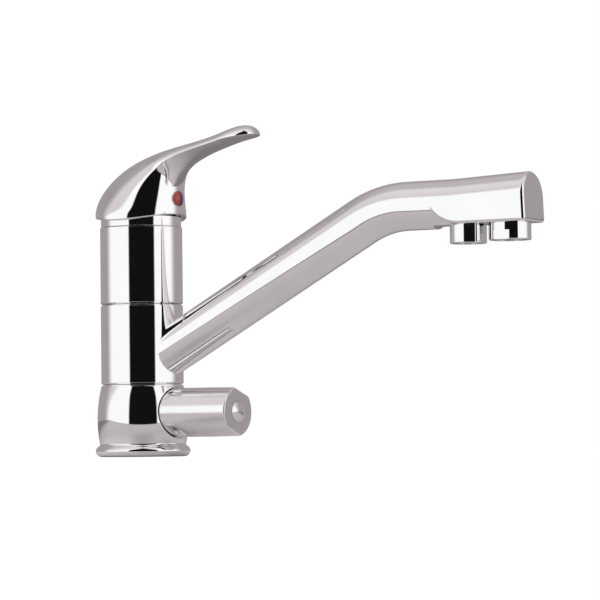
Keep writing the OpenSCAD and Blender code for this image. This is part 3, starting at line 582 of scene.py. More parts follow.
@dataclass
class Stand:
    """The foot of the tap: the beaded base ring and the barrel with the knob's recess.

    The holes of the underside, the stud's first and then the hoses', are (x, y, depth, radius).
    """

    ring_r: float = 27.2
    ring_h: float = 7.5
    bead_r: float = 3.2
    cove_r: float = 1.7
    cove_out: float = 2.4
    spigot_r: float = 20.0
    spigot_gap: float = 0.05
    groove: tuple[float, float, float] = (20.95, 24.05, 1.8)
    barrel_r: float = 26.1
    barrel_h: float = 41.2
    crown_r: float = 75.0
    crown_z: float = 21.5
    top_edge_r: float = 22.9
    stem_r: float = 18.0
    cap_support: float = 0.1
    recess_r: float = 14.4
    recess_x: float = 20.5
    recess_z: float = 25.0
    recess_lip: float = 0.9
    patch_angle: float = 54.0
    ray_crowding: float = 1.4
    probe: float = 0.02
    holes: tuple[tuple[float, float, float, float], ...] = (
        (0.0, 0.0, 16.0, 4.0), (0.0, -11.0, 12.0, 5.0), (0.0, 11.0, 12.0, 5.0), (11.5, 0.0, 10.0, 5.0),
    )

    def ring_shell(self) -> Shell:
        """The base ring: a bead that runs through a cove into the neck, turned round the axis.

        Returns:
            The closed skin.
        """
        bead_x = self.ring_r - self.bead_r
        cove_x = bead_x + self.cove_out
        tilt = math.degrees(math.atan2(self.ring_h - self.bead_r, cove_x - bead_x))
        low, high, depth = self.groove
        fit_r = self.spigot_r + self.spigot_gap
        corners = (
            (cove_x - self.cove_r, self.ring_h), (fit_r, self.ring_h), (fit_r, 0.0), (low, 0.0), (low, depth),
            (high, depth), (high, 0.0),
        )
        profile = np.concatenate([
            arc((bead_x, self.bead_r), self.bead_r, -90.0, tilt, 40),
            arc((cove_x, self.ring_h), self.cove_r, tilt + 180.0, 180.0, 14),
            *(straight(a, b) for a, b in zip(corners[:-1], corners[1:])),
        ])
        return Shell.of("base_ring_shell", lathe(profile), loop=True)

    def radius(self, z: Array) -> Array:
        """The barrel's radius: a flat circle of crown_r bulging to barrel_r at crown_z."""
        return self.barrel_r - self.crown_r + np.sqrt(self.crown_r**2 - (z - self.crown_z) ** 2)

    def on_barrel(self, angle: Array, z: Array) -> Array:
        """Points of the barrel at an angle round Z and a height."""
        r = self.radius(z)
        return xyz(r * np.cos(angle), r * np.sin(angle), z)

    def recess_grids(self, frame_angle: Array, frame_z: Array) -> list[Array]:
        """The barrel's skin between a frame of points and the recess, and the recess's rim, wall and floor.

        Rays run in angle and height from the recess's edge to the frame. The rounded rim is a parabola in the
        plane of each ray, from the skin to the wall, with its middle control point where the skin's tangent
        meets the wall.

        Args:
            frame_angle: Angles of the frame's points round Z, a closed loop.
            frame_z: Heights of the frame's points.

        Returns:
            Grids with one column for each point of the frame.
        """
        outer = self.on_barrel(frame_angle, frame_z)
        turn = np.arctan2(frame_z - self.recess_z, outer[:, 1])

        def skin(reach: float) -> tuple[Array, Array, Array]:
            """Angle, height and x of the skin where the ray is at a distance from the recess's axis.

            Args:
                reach: The distance.

            Returns:
                The three values on each ray.
            """
            y = reach * np.cos(turn)
            z = self.recess_z + reach * np.sin(turn)
            x = np.sqrt(self.radius(z) ** 2 - y**2)
            return np.arctan2(y, x), z, x

        edge = self.recess_r + self.recess_lip
        angle, z, x = skin(edge)
        share = np.linspace(0.0, 1.0, 26)[:, None] ** self.ray_crowding
        skin_grid = self.on_barrel(angle + share * (frame_angle - angle), z + share * (frame_z - z))
        slope = (skin(edge + self.probe)[2] - skin(edge - self.probe)[2]) / (2.0 * self.probe)
        t = np.linspace(0.0, 1.0, 12)[:, None]
        corner_x = x - slope * self.recess_lip
        reach = self.recess_r + (1 - t) ** 2 * self.recess_lip + 0.0 * x
        depth = (1 - t) ** 2 * x + 2 * t * (1 - t) * corner_x + t**2 * (corner_x - self.recess_lip)
        flat = np.full_like(x, self.recess_x)
        wall = depth[-1] + np.linspace(0.0, 1.0, 6)[:, None] * (flat - depth[-1])
        reach = np.concatenate([reach, np.full_like(wall, self.recess_r), np.zeros((1, len(x)))])
        depth = np.concatenate([depth, wall, flat[None]])
        rim = xyz(depth, reach * np.cos(turn), self.recess_z + reach * np.sin(turn))
        return [skin_grid, rim]

    def barrel_shell(self) -> Shell:
        """The barrel: a skin of revolution with a frame left open for the recess, closed above and below.

        Returns:
            The closed skin.
        """
        half = math.radians(self.patch_angle)
        front = np.linspace(-half, half, 73)
        rest = np.linspace(half, FULL_TURN - half, 150)
        low, top = self.ring_h, self.barrel_h
        heights = np.linspace(low, top, 2001)
        chamfer_z = float(np.interp(self.top_edge_r + top, self.radius(heights) + heights, heights))
        z = straight((low, 0.0), (chamfer_z, 0.0), 46)[:, 0]
        shell = Shell("barrel_shell")
        shell.grid(self.on_barrel(rest, z[:, None]))
        rows, columns = len(z) - 1, len(front) - 1
        frame_angle = np.concatenate([front[:-1], np.full(rows, half), front[:0:-1], np.full(rows, -half)])
        frame_z = np.concatenate([np.full(columns, z[0]), z[:-1], np.full(columns, z[-1]), z[:0:-1]])
        for grid in self.recess_grids(frame_angle, frame_z):
            shell.grid(grid, ring=True)
        angle = np.concatenate([front[:-1], rest[:-1]])
        crown = np.concatenate([
            straight((self.radius(z[-1]), z[-1]), (self.top_edge_r, top), 2, SUPPORT / 2.0),
            [[self.top_edge_r - self.cap_support, top], [self.stem_r, top], [0.0, top]],
        ])
        foot = np.concatenate([
            straight((self.radius(z[0]), low), (self.spigot_r, low)),
            straight((self.spigot_r, low), (self.spigot_r, 0.0)),
            [[self.spigot_r - self.cap_support, 0.0], [0.0, 0.0]],
        ])
        shell.grid(turned(crown, angle), ring=True)
        shell.grid(turned(foot, angle), ring=True)
        return shell

    def drill(self, piece: bpy.types.Object) -> None:
        """Cuts the stud's and the hoses' holes into the barrel's underside.

        Args:
            piece: The barrel's object.
        """
        cutter = Shell("underside_cutter")
        for x, y, depth, radius in self.holes:
            profile = np.array([[0.0, -1.0], [radius, -1.0], [radius, depth], [0.0, depth]])
            cutter.grid(lathe(profile, 64) + np.array([x, y, 0.0]), ring=True)
        tool = linked(cutter.name, cutter.mesh())
        cut = piece.modifiers.new("underside_holes", "BOOLEAN")
        cut.object = tool
        cut.solver = "EXACT"
        bpy.context.view_layer.update()
        graph = bpy.context.evaluated_depsgraph_get()
        finished = bpy.data.meshes.new_from_object(piece.evaluated_get(graph))
        piece.modifiers.remove(cut)
        piece.data = finished
        finished.name = piece.name
        finished.set_sharp_from_angle(angle=SHARP)
        bpy.data.objects.remove(tool)

    def build(self, chrome: bpy.types.Material) -> None:
        """Builds both pieces of the foot.

        Args:
            chrome: The material of both.
        """
        self.ring_shell().build(Body.BASE, "chrome", chrome, "base_ring")
        barrel = self.barrel_shell().build(Body.BASE, "chrome", chrome, "base_body")
        self.drill(barrel)


@dataclass
class Sleeve:
    """A turned section of the body with chamfered, slightly broken edges and a stepped bore.

    The chamfers are (lower, upper) and the bores are (radius, height) steps upwards.
    """

    name: str
    node: str
    body: Body
    radius: float
    low: float
    top: float
    chamfers: Span
    bores: tuple[Span, ...]
    edge: float = 0.12

    def shell(self) -> Shell:
        """The closed outline of wall and bores, turned round the axis.

        Returns:
            The closed skin.
        """
        e = self.edge
        lower, upper = self.chamfers
        outside = [
            (self.radius - lower, self.low, e), (self.radius, self.low + lower, e),
            (self.radius, self.top - upper, e), (self.radius - upper, self.top, e),
        ]
        heights = [self.low] + [h for _, h in self.bores]
        inside = []
        for (radius, _), start, end in zip(self.bores, heights[:-1], heights[1:]):
            inside += [(radius, start, 0.0), (radius, end, 0.0)]
        return Shell.of(self.name, lathe(rounded(outside + inside[::-1])), loop=True)

    def build(self, chrome: bpy.types.Material) -> None:
        """Builds the section."""
        self.shell().build(self.body, "chrome", chrome, self.node)


SLEEVES: tuple[Sleeve, ...] = (
    Sleeve(
        "collar_shell", "spout_collar", Body.SPOUT, radius=23.7, low=41.5, top=87.2, chamfers=(0.8, 0.8),
        bores=((18.05, 87.2),),
    ),
    Sleeve(
        "upper_body_shell", "upper_body", Body.BASE, radius=23.7, low=87.5, top=131.9, chamfers=(0.8, 0.4),
        bores=((18.05, 88.25), (17.05, 97.0), (20.2, 131.9)),
    ),
    Sleeve(
        "trim_ring_shell", "trim_ring", Body.BASE, radius=23.1, low=131.9, top=138.4, chamfers=(0.4, 0.8),
        bores=((21.28, 138.4),),
    ),
)


@dataclass
class Outlet:
    """One of the two housings below the spout's head: a turned cup with spanner flats and a bore."""

    name: str
    node: str
    x: float
    radius: float
    length: float
    bore_r: float
    flats_turn: float
    flats_h: float = 5.0
    flats_share: float = 0.92
    edge: float = 0.6
    seam: float = 0.3
    step: float = 0.02
    columns: int = 240

    def skin(self, top: float) -> Array:
        """A turned profile whose radius is held to a flat's distance / |cos(a - turn)| over the lower part.

        Args:
            top: Height of the head's underside.

        Returns:
            The closed grid of points, along the spout.
        """
        low = top - self.length
        split = low + self.flats_h
        inner, outer, e = self.bore_r, self.radius, self.edge
        profile = np.concatenate([
            arc((inner + e / 2.0, low + e / 2.0), e / 2.0, 180.0, 270.0, 7),
            straight((inner + e / 2.0, low), (outer - e, low))[1:-1],
            arc((outer - e, low + e), e, -90.0, 0.0, 9),
            straight((outer, low + e), (outer, split), 3)[1:],
            straight((outer, split + self.step), (outer, top - self.seam), 3),
            straight((outer - self.seam, top), (inner, top), 3),
            straight((inner, top), (inner, low + e / 2.0), 3)[1:-1],
        ])
        grid = lathe(profile, self.columns)
        angle = turn_angles(self.columns) - math.radians(self.flats_turn)
        flat = outer * self.flats_share / np.maximum(np.abs(np.cos(angle)), TINY)
        reach = np.hypot(grid[..., 0], grid[..., 1])
        held = (grid[..., 2] < split + self.step / 2.0) & (reach > inner + e)
        grid[..., :2] *= np.where(held, np.minimum(1.0, flat / reach), 1.0)[..., None]
        grid[..., 0] += self.x
        return grid


@dataclass
class SpoutArm:
    """The spout's tube and head as one skin, and the two outlets below the head."""

    turn: float = 3.5
    radius: float = 13.5
    foot_z: float = 49.6
    level_z: float = 136.3
    corner_x: float = 158.8
    bend_r: float = 60.0
    collar_r: float = 23.4
    filter_x: float = 210.5
    main_x: float = 235.5
    end_x: float = 249.8
    drop: float = 11.8
    heel_r: float = 20.0
    lift: float = 2.5
    lift_from: float = 198.0
    lift_ease: float = 10.0
    edge_round: float = 2.0
    edge_share: float = 0.6
    end_round: float = 2.0
    fillet: float = 1.0
    fillet_from: float = 2.0
    fillet_run: float = 3.0
    flat_ramp: float = 0.3
    flat_clear: float = 0.2
    search: Span = (4.0, 24.0)
    halvings: int = 40

    @property
    def heel_l(self) -> float:
        """Length of the heel: from where its circle leaves the axis to where it runs level."""
        return math.sqrt(self.heel_r**2 - (self.heel_r - self.drop) ** 2)

    def columns(self) -> Array:
        """Angles round the tube, close together below, where the head's edges run.

        Returns:
            The angles, from +Y over the top.
        """
        top = np.linspace(0.0, np.pi, 61)[:-1]
        low = np.linspace(np.pi, FULL_TURN, 241)[:-1]
        return np.concatenate([top, low])

    def risen(self, x: Array) -> Array:
        """Height of the head's axis over the level run: a parabola that eases into a straight rise.

        Args:
            x: Places along the run.

        Returns:
            The heights.
        """
        s = np.maximum(x - self.lift_from, 0.0)
        eased = np.where(s < self.lift_ease, s * s / (2.0 * self.lift_ease), s - self.lift_ease / 2.0)
        return math.tan(math.radians(self.lift)) * eased

    def section(self, x: Array, angle: Array) -> Array:
        """Distance from the axis to the head's skin at places along it.

        The section is the tube's circle joined with a block of the same width, whose lower edges are rounded
        and whose depth follows the heel's circle up to the filter outlet, and cut flat below for the outlets.
        The skin is found on each ray by halving steps.

        Args:
            x: Places along the level run, m.
            angle: Angles round the axis, n.

        Returns:
            Radii, m x n.
        """
        x = x[:, None]
        risen = self.risen(x)
        behind = np.maximum(self.filter_x - x, 0.0)
        depth = np.sqrt(np.maximum(self.heel_r**2 - behind**2, 0.0)) - (self.heel_r - self.drop) + risen
        corner = np.clip(self.edge_share * depth, TINY, self.edge_round)
        inset = np.maximum(x - (self.end_x - self.end_round), 0.0)
        inset = self.end_round - np.sqrt(np.maximum(self.end_round**2 - inset**2, 0.0))
        cut = np.clip((x - self.filter_x + self.heel_l) / self.flat_ramp + 1.0, 0.0, 1.0)
        clear = self.radius + self.flat_clear
        floor = clear + cut * (self.drop + risen - clear)
        cos, sin = np.cos(angle), np.sin(angle)

        def outside(rho: Array) -> Array:
            """Signed distance of points on the rays from the section.

            Args:
                rho: Distances from the axis, m x n.

            Returns:
                The signed distances.
            """
            y, n = np.abs(rho * cos), rho * sin
            side = y - (self.radius - corner)
            below = -n - (depth - corner)
            block = np.hypot(np.maximum(side, 0.0), np.maximum(below, 0.0))
            block = block + np.minimum(np.maximum(side, below), 0.0) - corner
            block = np.where(depth > TINY, np.maximum(block, n), np.inf)
            ease = TINY + self.fillet * smooth_step((-n - self.fillet_from) / self.fillet_run)
            return np.maximum(soft_min(rho - self.radius, block, ease), -n - floor) + inset

        low, high = (np.full((len(x), len(angle)), limit) for limit in self.search)
        for _ in range(self.halvings):
            middle = (low + high) / 2.0
            inside = outside(middle) < 0.0
            low = np.where(inside, middle, low)
            high = np.where(inside, high, middle)
        return (low + high) / 2.0

    def swivelled(self, points: Array) -> Array:
        """Turns what is built along +X about the body's axis to where the spout rests.

        Args:
            points: Points along +X.

        Returns:
            The turned points.
        """
        cos, sin = math.cos(math.radians(self.turn)), math.sin(math.radians(self.turn))
        x, y, z = points[..., 0], points[..., 1], points[..., 2]
        return xyz(cos * x - sin * y, sin * x + cos * y, z)

    def shell(self) -> Shell:
        """The skin from the collar to the end face: straight leg, bend and level run, ring by ring.

        A point is the axis point plus radius * (cos a * Y + sin a * N), with N square to the axis in the XZ
        plane. The leg starts where each of its lines enters the collar. Over the head the rings lean with the
        rising axis.

        Returns:
            The closed skin.
        """
        angle = self.columns()
        rise = math.atan2(self.level_z - self.foot_z, self.corner_x)
        cos, sin = math.cos(rise), math.sin(rise)
        tangent = self.bend_r * math.tan(rise / 2.0)
        leg_l = self.corner_x / cos - tangent
        bend_x = self.corner_x + tangent
        y, n = self.radius * np.cos(angle), self.radius * np.sin(angle)
        entry = (np.sqrt(self.collar_r**2 - y**2) + n * sin) / cos
        along = entry + np.linspace(0.0, 1.0, 40)[:, None] * (leg_l - entry)
        leg = xyz(along * cos - n * sin, y, self.foot_z + along * sin + n * cos)
        slope = np.linspace(rise, 0.0, 30)[1:, None]
        reach = self.bend_r + n
        bend = xyz(bend_x - reach * np.sin(slope), y, self.level_z - self.bend_r + reach * np.cos(slope))
        start = self.end_x - self.end_round
        heel = self.filter_x - self.heel_l
        x = np.concatenate([
            np.linspace(bend_x, heel - self.flat_ramp, 9)[1:],
            heel - self.flat_ramp * np.array([0.6, 0.3]),
            heel + self.heel_l * (1.0 - np.cos(np.linspace(0.0, QUARTER_TURN, 80))),
            np.linspace(self.filter_x, start, 14)[1:-1],
            [start - SUPPORT],
            start + self.end_round * np.sin(np.linspace(0.0, QUARTER_TURN, 12)),
        ])
        rho = self.section(x, angle)
        above = rho * np.sin(angle)
        run = np.clip((x - self.lift_from) / (start - self.lift_from), 0.0, 1.0)
        lean = math.tan(math.radians(self.lift)) * run
        level_z = self.level_z + self.risen(x)[:, None] + above
        level = xyz(x[:, None] - lean[:, None] * above, rho * np.cos(angle), level_z)
        skin = self.swivelled(np.concatenate([leg, bend, level]))
        made = Shell.of("spout_shell", skin)
        made.cap(skin[0], 0.97)
        made.cap(skin[-1], 0.985)
        return made

    def outlets(self) -> tuple[Outlet, Outlet]:
        """The outlet for mixed water at the end and the one for filtered water behind it."""
        return (
            Outlet(
                "main_aerator_shell", "main_aerator_housing", self.main_x, radius=11.55, length=9.3, bore_r=7.7,
                flats_turn=90.0,
            ),
            Outlet(
                "filter_nozzle_shell", "filter_nozzle_housing", self.filter_x, radius=10.1, length=10.2,
                bore_r=6.2, flats_turn=0.0,
            ),
        )

    def build(self, chrome: bpy.types.Material) -> None:
        """Builds the spout and its outlets.

        Args:
            chrome: The material of all three.
        """
        self.shell().build(Body.SPOUT, "chrome", chrome, "spout_tube", "spout_head")
        for outlet in self.outlets():
            skin = self.swivelled(outlet.skin(self.level_z - self.drop))
            Shell.of(outlet.name, skin, loop=True).build(Body.SPOUT, "chrome", chrome, outlet.node)


@dataclass
class Lever:
    """The lever: a loft from the round skirt to the flat arm, and the two halves of its index plug.

    The back and front curves lie in the middle plane, as (x, height over the skirt's edge).
    """

    skirt_r: float = 26.2
    edge_z: float = 139.7
    sag: float = 1.6
    sag_end: Ramp = Ramp(2.33)
    lip: float = 0.6
    lip_drop: float = 1.8
    skirt_rate: float = 1.05
    skirt_fullness: float = 0.3
    waist_half_w: float = 15.29
    waist_at: float = 0.379
    arm_half_w: float = 11.3
    tip_at: float = 2 / 3
    tip_power: float = 2.4
    tip_stop: float = 0.9995
    tip_crowding: float = 1.25
    sink: Ramp = Ramp(1.659, -0.026)
    sink_depth: float = 0.7126
    crease: Ramp = Ramp(4.663, 1.135)
    easing_end: Ramp = Ramp(3.566, 0.873)
    easing: Span = (0.02, 0.3725)
    crown_start: Ramp = Ramp(1.755)
    crown_end: Ramp = Ramp(3.0, 1.8)
    crown_over: float = 0.58
    crown_under: float = 0.078
    pivot_z: float = 130.0
    cavity_r: float = 25.18
    cavity_power: int = 8
    index_z: float = 147.6
    index_r: float = 4.35
    index_x: float = 27.0
    index_dome: float = 1.1
    index_depth: float = 2.5
    bezel_x: float = 26.1
    bezel_gap: float = 0.1
    bezel_r: float = 0.34
    back: tuple[tuple[Span, ...], ...] = (
        ((-26.2, -1.05), (-26.2, 10.0), (-16.9, 23.6), (1.6, 30.8)),
        ((1.6, 30.8), (21.0, 38.4), (36.5, 37.6), (62.5, 45.2)),
        ((62.5, 45.2), (70.0, 47.4), (80.3, 48.8), (80.8, 41.6)),
    )
    front: tuple[tuple[Span, ...], ...] = (
        ((26.2, -1.05), (26.2, 4.55), (25.5, 15.8), (27.9, 22.37)),
        ((27.9, 22.37), (31.08, 31.02), (45.6, 33.7), (60.5, 37.4)),
        ((60.5, 37.4), (66.0, 38.7), (77.5, 39.6), (80.8, 41.6)),
    )

    def half_width(self, t: Array) -> Array:
        """Half width of the sections: skirt to waist, waist to arm, and a round tip over the last curve.

        Args:
            t: Places from the skirt to the tip.

        Returns:
            The half widths.
        """
        run = self.skirt_rate * t / self.waist_at
        full = self.skirt_fullness
        narrowed = (1.0 + full) * smooth_step(run) - full * smoother_step(run)
        skirt = self.skirt_r + (self.waist_half_w - self.skirt_r) * narrowed
        arm_run = (t - self.waist_at) / (self.tip_at - self.waist_at)
        arm = self.waist_half_w + (self.arm_half_w - self.waist_half_w) * smooth_step(arm_run)
        tip_run = np.maximum(0.0, 3 * t - 2)
        tip = self.arm_half_w * np.sqrt(np.maximum(0.0, 1.0 - tip_run**self.tip_power))
        return np.where(t < self.waist_at, skirt, np.where(t < self.tip_at, arm, tip))

    def skin(self, t: Array, turn: Array) -> Array:
        """Points of the loft.

        A section lies between the back and the front curve. Its widest line sinks towards the front curve
        along the lever, the upper side is half an ellipse that narrows a little to its crown, and the lower
        side turns from an ellipse into a parabola, which makes the widest line a crisp edge. The edge is
        rounded where it begins. The skirt's lower edge is raised at front and back and lowered at the sides.

        Args:
            t: Places from the skirt to the tip, m.
            turn: Angles round the section from the back over -Y to the front and home over +Y, n.

        Returns:
            Points, m x n x 3.
        """
        top = bezier_chain(np.array(self.back), t)[:, None]
        low = bezier_chain(np.array(self.front), t)[:, None]
        c = np.cos(turn)[None]
        crease = self.crease.smooth(t)
        place = -self.sink_depth * self.sink.smoother(t)
        crown = self.crown_start.smooth(t) * (1.0 - self.crown_end.smooth(t))
        along = place + np.where(c >= 0, 1.0 - place, 1.0 + place) * c
        over = np.abs(np.sin(turn))[None] ** (1.0 + self.crown_over * crown)
        least, more = self.easing
        ease = least + more * (1.0 - self.easing_end.smooth(t))
        fall = (np.sqrt(c * c + ease**2) - ease) / (np.sqrt(1.0 + ease**2) - ease)
        left = np.maximum(0.0, 1.0 - (1.0 - crease) * c * c - crease * fall)
        wide = np.where(c >= 0, over, left ** (0.5 + self.crown_under * crown))
        middle = (top + low) / 2.0 + (top - low) / 2.0 * along[..., None]
        rise = self.sag * (2.0 * c * c - 1.0) * (1.0 - self.sag_end.smooth(t))
        side = np.where(turn < np.pi, -1.0, 1.0)[None] * self.half_width(t)[:, None] * wide
        return xyz(middle[..., 0], side, self.edge_z + middle[..., 1] + rise)

    def handle_shell(self) -> Shell:
        """The loft, its rounded lip and the hollow below, part of a sphere about the tilting centre.

        Returns:
            The closed skin with the bezel on it.
        """
        close = np.sin(np.linspace(0.0, 1.0, 46) * np.pi / 2.0) * np.pi / 2.0
        turn = np.concatenate([close, np.pi - close[-2::-1]])
        turn = np.concatenate([turn, np.pi + turn[1:-1]])
        t = self.tip_stop * (1.0 - (1.0 - np.linspace(0.0, 1.0, 190)) ** self.tip_crowding)
        skin = self.skin(t, turn)
        edge = skin[0] - np.array([0.0, 0.0, self.lip_drop - self.lip])
        bend = np.radians(np.linspace(90.0, -90.0, 19))[:, None]
        reach = 1.0 - self.lip * (1.0 - np.sin(bend)) / self.skirt_r
        lip = xyz(edge[:, 0] * reach, edge[:, 1] * reach, edge[:, 2] - self.lip * np.cos(bend))
        inner = lip[-1]
        radius = np.hypot(inner[:, 0], inner[:, 1])
        shrink = np.linspace(1.0, 0.0, 16)[1:, None]
        sphere_z = self.pivot_z + np.sqrt(np.maximum(self.cavity_r**2 - (radius * shrink) ** 2, 0.0))
        hollow_z = sphere_z + (inner[:, 2] - sphere_z[0]) * shrink**self.cavity_power
        hollow = xyz(inner[:, 0] * shrink, inner[:, 1] * shrink, hollow_z)
        made = Shell.of("lever_shell", np.concatenate([skin[::-1], lip, hollow]))
        made.grid(np.stack([skin[-1], np.broadcast_to(skin[-1].mean(0), skin[-1].shape)]), ring=True)
        made.grid(self.bezel(), ring=True, loop=True)
        return made

    def bezel(self) -> Array:
        """The thin ring round the index plug, bent with the skirt by y^2 / (2 * radius).

        Returns:
            The closed grid of points.
        """
        ring = lathe(arc((self.index_r + self.bezel_gap, 0.0), self.bezel_r, 0.0, 345.0, 24), 96)
        ring[..., 2] -= ring[..., 1] ** 2 / (2.0 * self.skirt_r)
        return facing_front(ring, self.bezel_x, self.index_z)

    def index_shell(self, name: str, side: float) -> Shell:
        """Half of the index plug: a dome on a short barrel, split in the lever's middle plane.

        Args:
            name: Name of the piece.
            side: -1 for the half at -Y, 1 for the half at +Y.

        Returns:
            The closed skin.
        """
        wall = straight((self.index_r, 0.0), (self.index_r, -self.index_depth))
        crown = dome(self.index_r, self.index_dome, 24)
        profile = np.concatenate([crown, wall[1:], [[0.0, -self.index_depth]]])
        half = np.linspace(0.0, np.pi, 60) * side
        placed = facing_front(turned(profile, half), self.index_x, self.index_z)
        made = Shell(name)
        made.grid(placed)
        made.grid(np.stack([placed[:, 0], placed[:, -1]], 1))
        return made

    def build(self, finish: dict[str, bpy.types.Material]) -> None:
        """Builds the handle and both halves of the plug.

        Args:
            finish: Materials by slot.
        """
        self.handle_shell().build(Body.LEVER, "chrome", finish["chrome"], "lever_handle")
        for node, slot, side in (("hot_index", "red_plastic", -1.0), ("cold_index", "blue_plastic", 1.0)):
            self.index_shell(f"{node}_shell", side).build(Body.LEVER, slot, finish[slot], node)


@dataclass
class FilterKnob:
    """The knob of the filter valve, with two tapered flats, and the domed button in its end face."""

    radius: float = 14.0
    axis_z: float = 25.0
    root_x: float = 21.0
    end_x: float = 66.3
    flat_x: float = 32.0
    flat_depth: float = 2.1
    flat_turn: float = 70.0
    flat_ease: float = 0.25
    end_round: float = 0.8
    cavity_r: float = 11.5
    cavity_x: float = 37.0
    pocket_lip: float = 0.2
    pocket_wall: float = 0.3
    button_r: float = 5.85
    button_gap: float = 0.12
    button_floor_x: float = 58.3
    button_dome: float = 1.1
    button_depth: float = 5.0

    def reach(self, x: Array, angle: Array) -> Array:
        """The round bar's radius, held to the flats' distance / |cos(a - turn)| with softened edges.

        Args:
            x: Places along the knob, as a column.
            angle: Angles round its axis.

        Returns:
            The radii.
        """
        run = np.clip((x - self.flat_x) / (self.end_x - self.flat_x), 0.0, None)
        distance = self.radius - self.flat_depth * run
        flat = distance / np.maximum(np.abs(np.cos(angle - math.radians(self.flat_turn))), 0.05)
        return soft_min(self.radius + 0.0 * flat, flat, self.flat_ease)

    def laid(self, x: Any, reach: Any, angle: Array) -> Array:
        """Rings at x and at a reach from the knob's axis, by the angle from +Y towards +Z."""
        return xyz(np.atleast_2d(x), reach * np.cos(angle), self.axis_z + reach * np.sin(angle))

    def knob_shell(self) -> Shell:
        """The knob in rings along X: hollow, root, bar with flats, rounded end, end face, button pocket.

        Returns:
            The closed skin.
        """
        angle = turn_angles(360)
        start = self.end_x - self.end_round
        bar_x = straight((self.root_x, 0.0), (start, 0.0), 60)[:, :1]
        bend = np.linspace(0.0, QUARTER_TURN, 12)[1:, None]
        round_x = start + self.end_round * np.sin(bend)
        rounding = self.reach(round_x, angle) - self.end_round * (1.0 - np.cos(bend))
        edge = self.reach(np.full((1, 1), self.end_x), angle) - self.end_round
        pocket = self.button_r + self.button_gap
        face = edge + np.array([[0.02], [0.5], [0.97]]) * (pocket + self.pocket_lip - edge)
        lip = np.radians(np.linspace(0.0, 90.0, 7))[:, None]
        lip_x = self.end_x - self.pocket_lip * (1.0 - np.cos(lip))
        root = np.array([[self.cavity_r], [self.cavity_r + SUPPORT], [self.radius - SUPPORT]])
        rings = (
            (self.cavity_x, 0.0),
            (self.cavity_x, self.cavity_r),
            (self.root_x, root),
            (bar_x, self.reach(bar_x, angle)),
            (round_x, rounding),
            (self.end_x, face),
            (lip_x, pocket + self.pocket_lip * (1.0 - np.sin(lip))),
            (np.linspace(self.end_x - self.pocket_wall, self.button_floor_x, 4)[:, None], pocket),
            (self.button_floor_x, 0.0),
        )
        return Shell.of("knob_shell", np.concatenate([self.laid(x, reach, angle) for x, reach in rings]))

    def button_shell(self) -> Shell:
        """The button: a shallow dome with a soft shoulder on a short barrel, turned round the knob's axis.

        Returns:
            The closed skin.
        """
        profile = np.concatenate([
            dome(self.button_r, self.button_dome, 30),
            straight((self.button_r, -SUPPORT), (self.button_r, -self.button_depth)),
            [[0.0, -self.button_depth]],
        ])
        return Shell.of("knob_button_shell", facing_front(lathe(profile, 160), self.end_x, self.axis_z))

    def build(self, finish: dict[str, bpy.types.Material]) -> None:
        """Builds the knob and its button."""
        self.knob_shell().build(Body.KNOB, "chrome", finish["satin_chrome"], "knob")
        self.button_shell().build(Body.KNOB, "chrome", finish["chrome"], "knob_button")


# The studio


def along(x: Value, y: Value, direction: Array) -> Value:
    """The part of a level vector that lies along a direction."""
    return x * float(direction[0]) + y * float(direction[1])


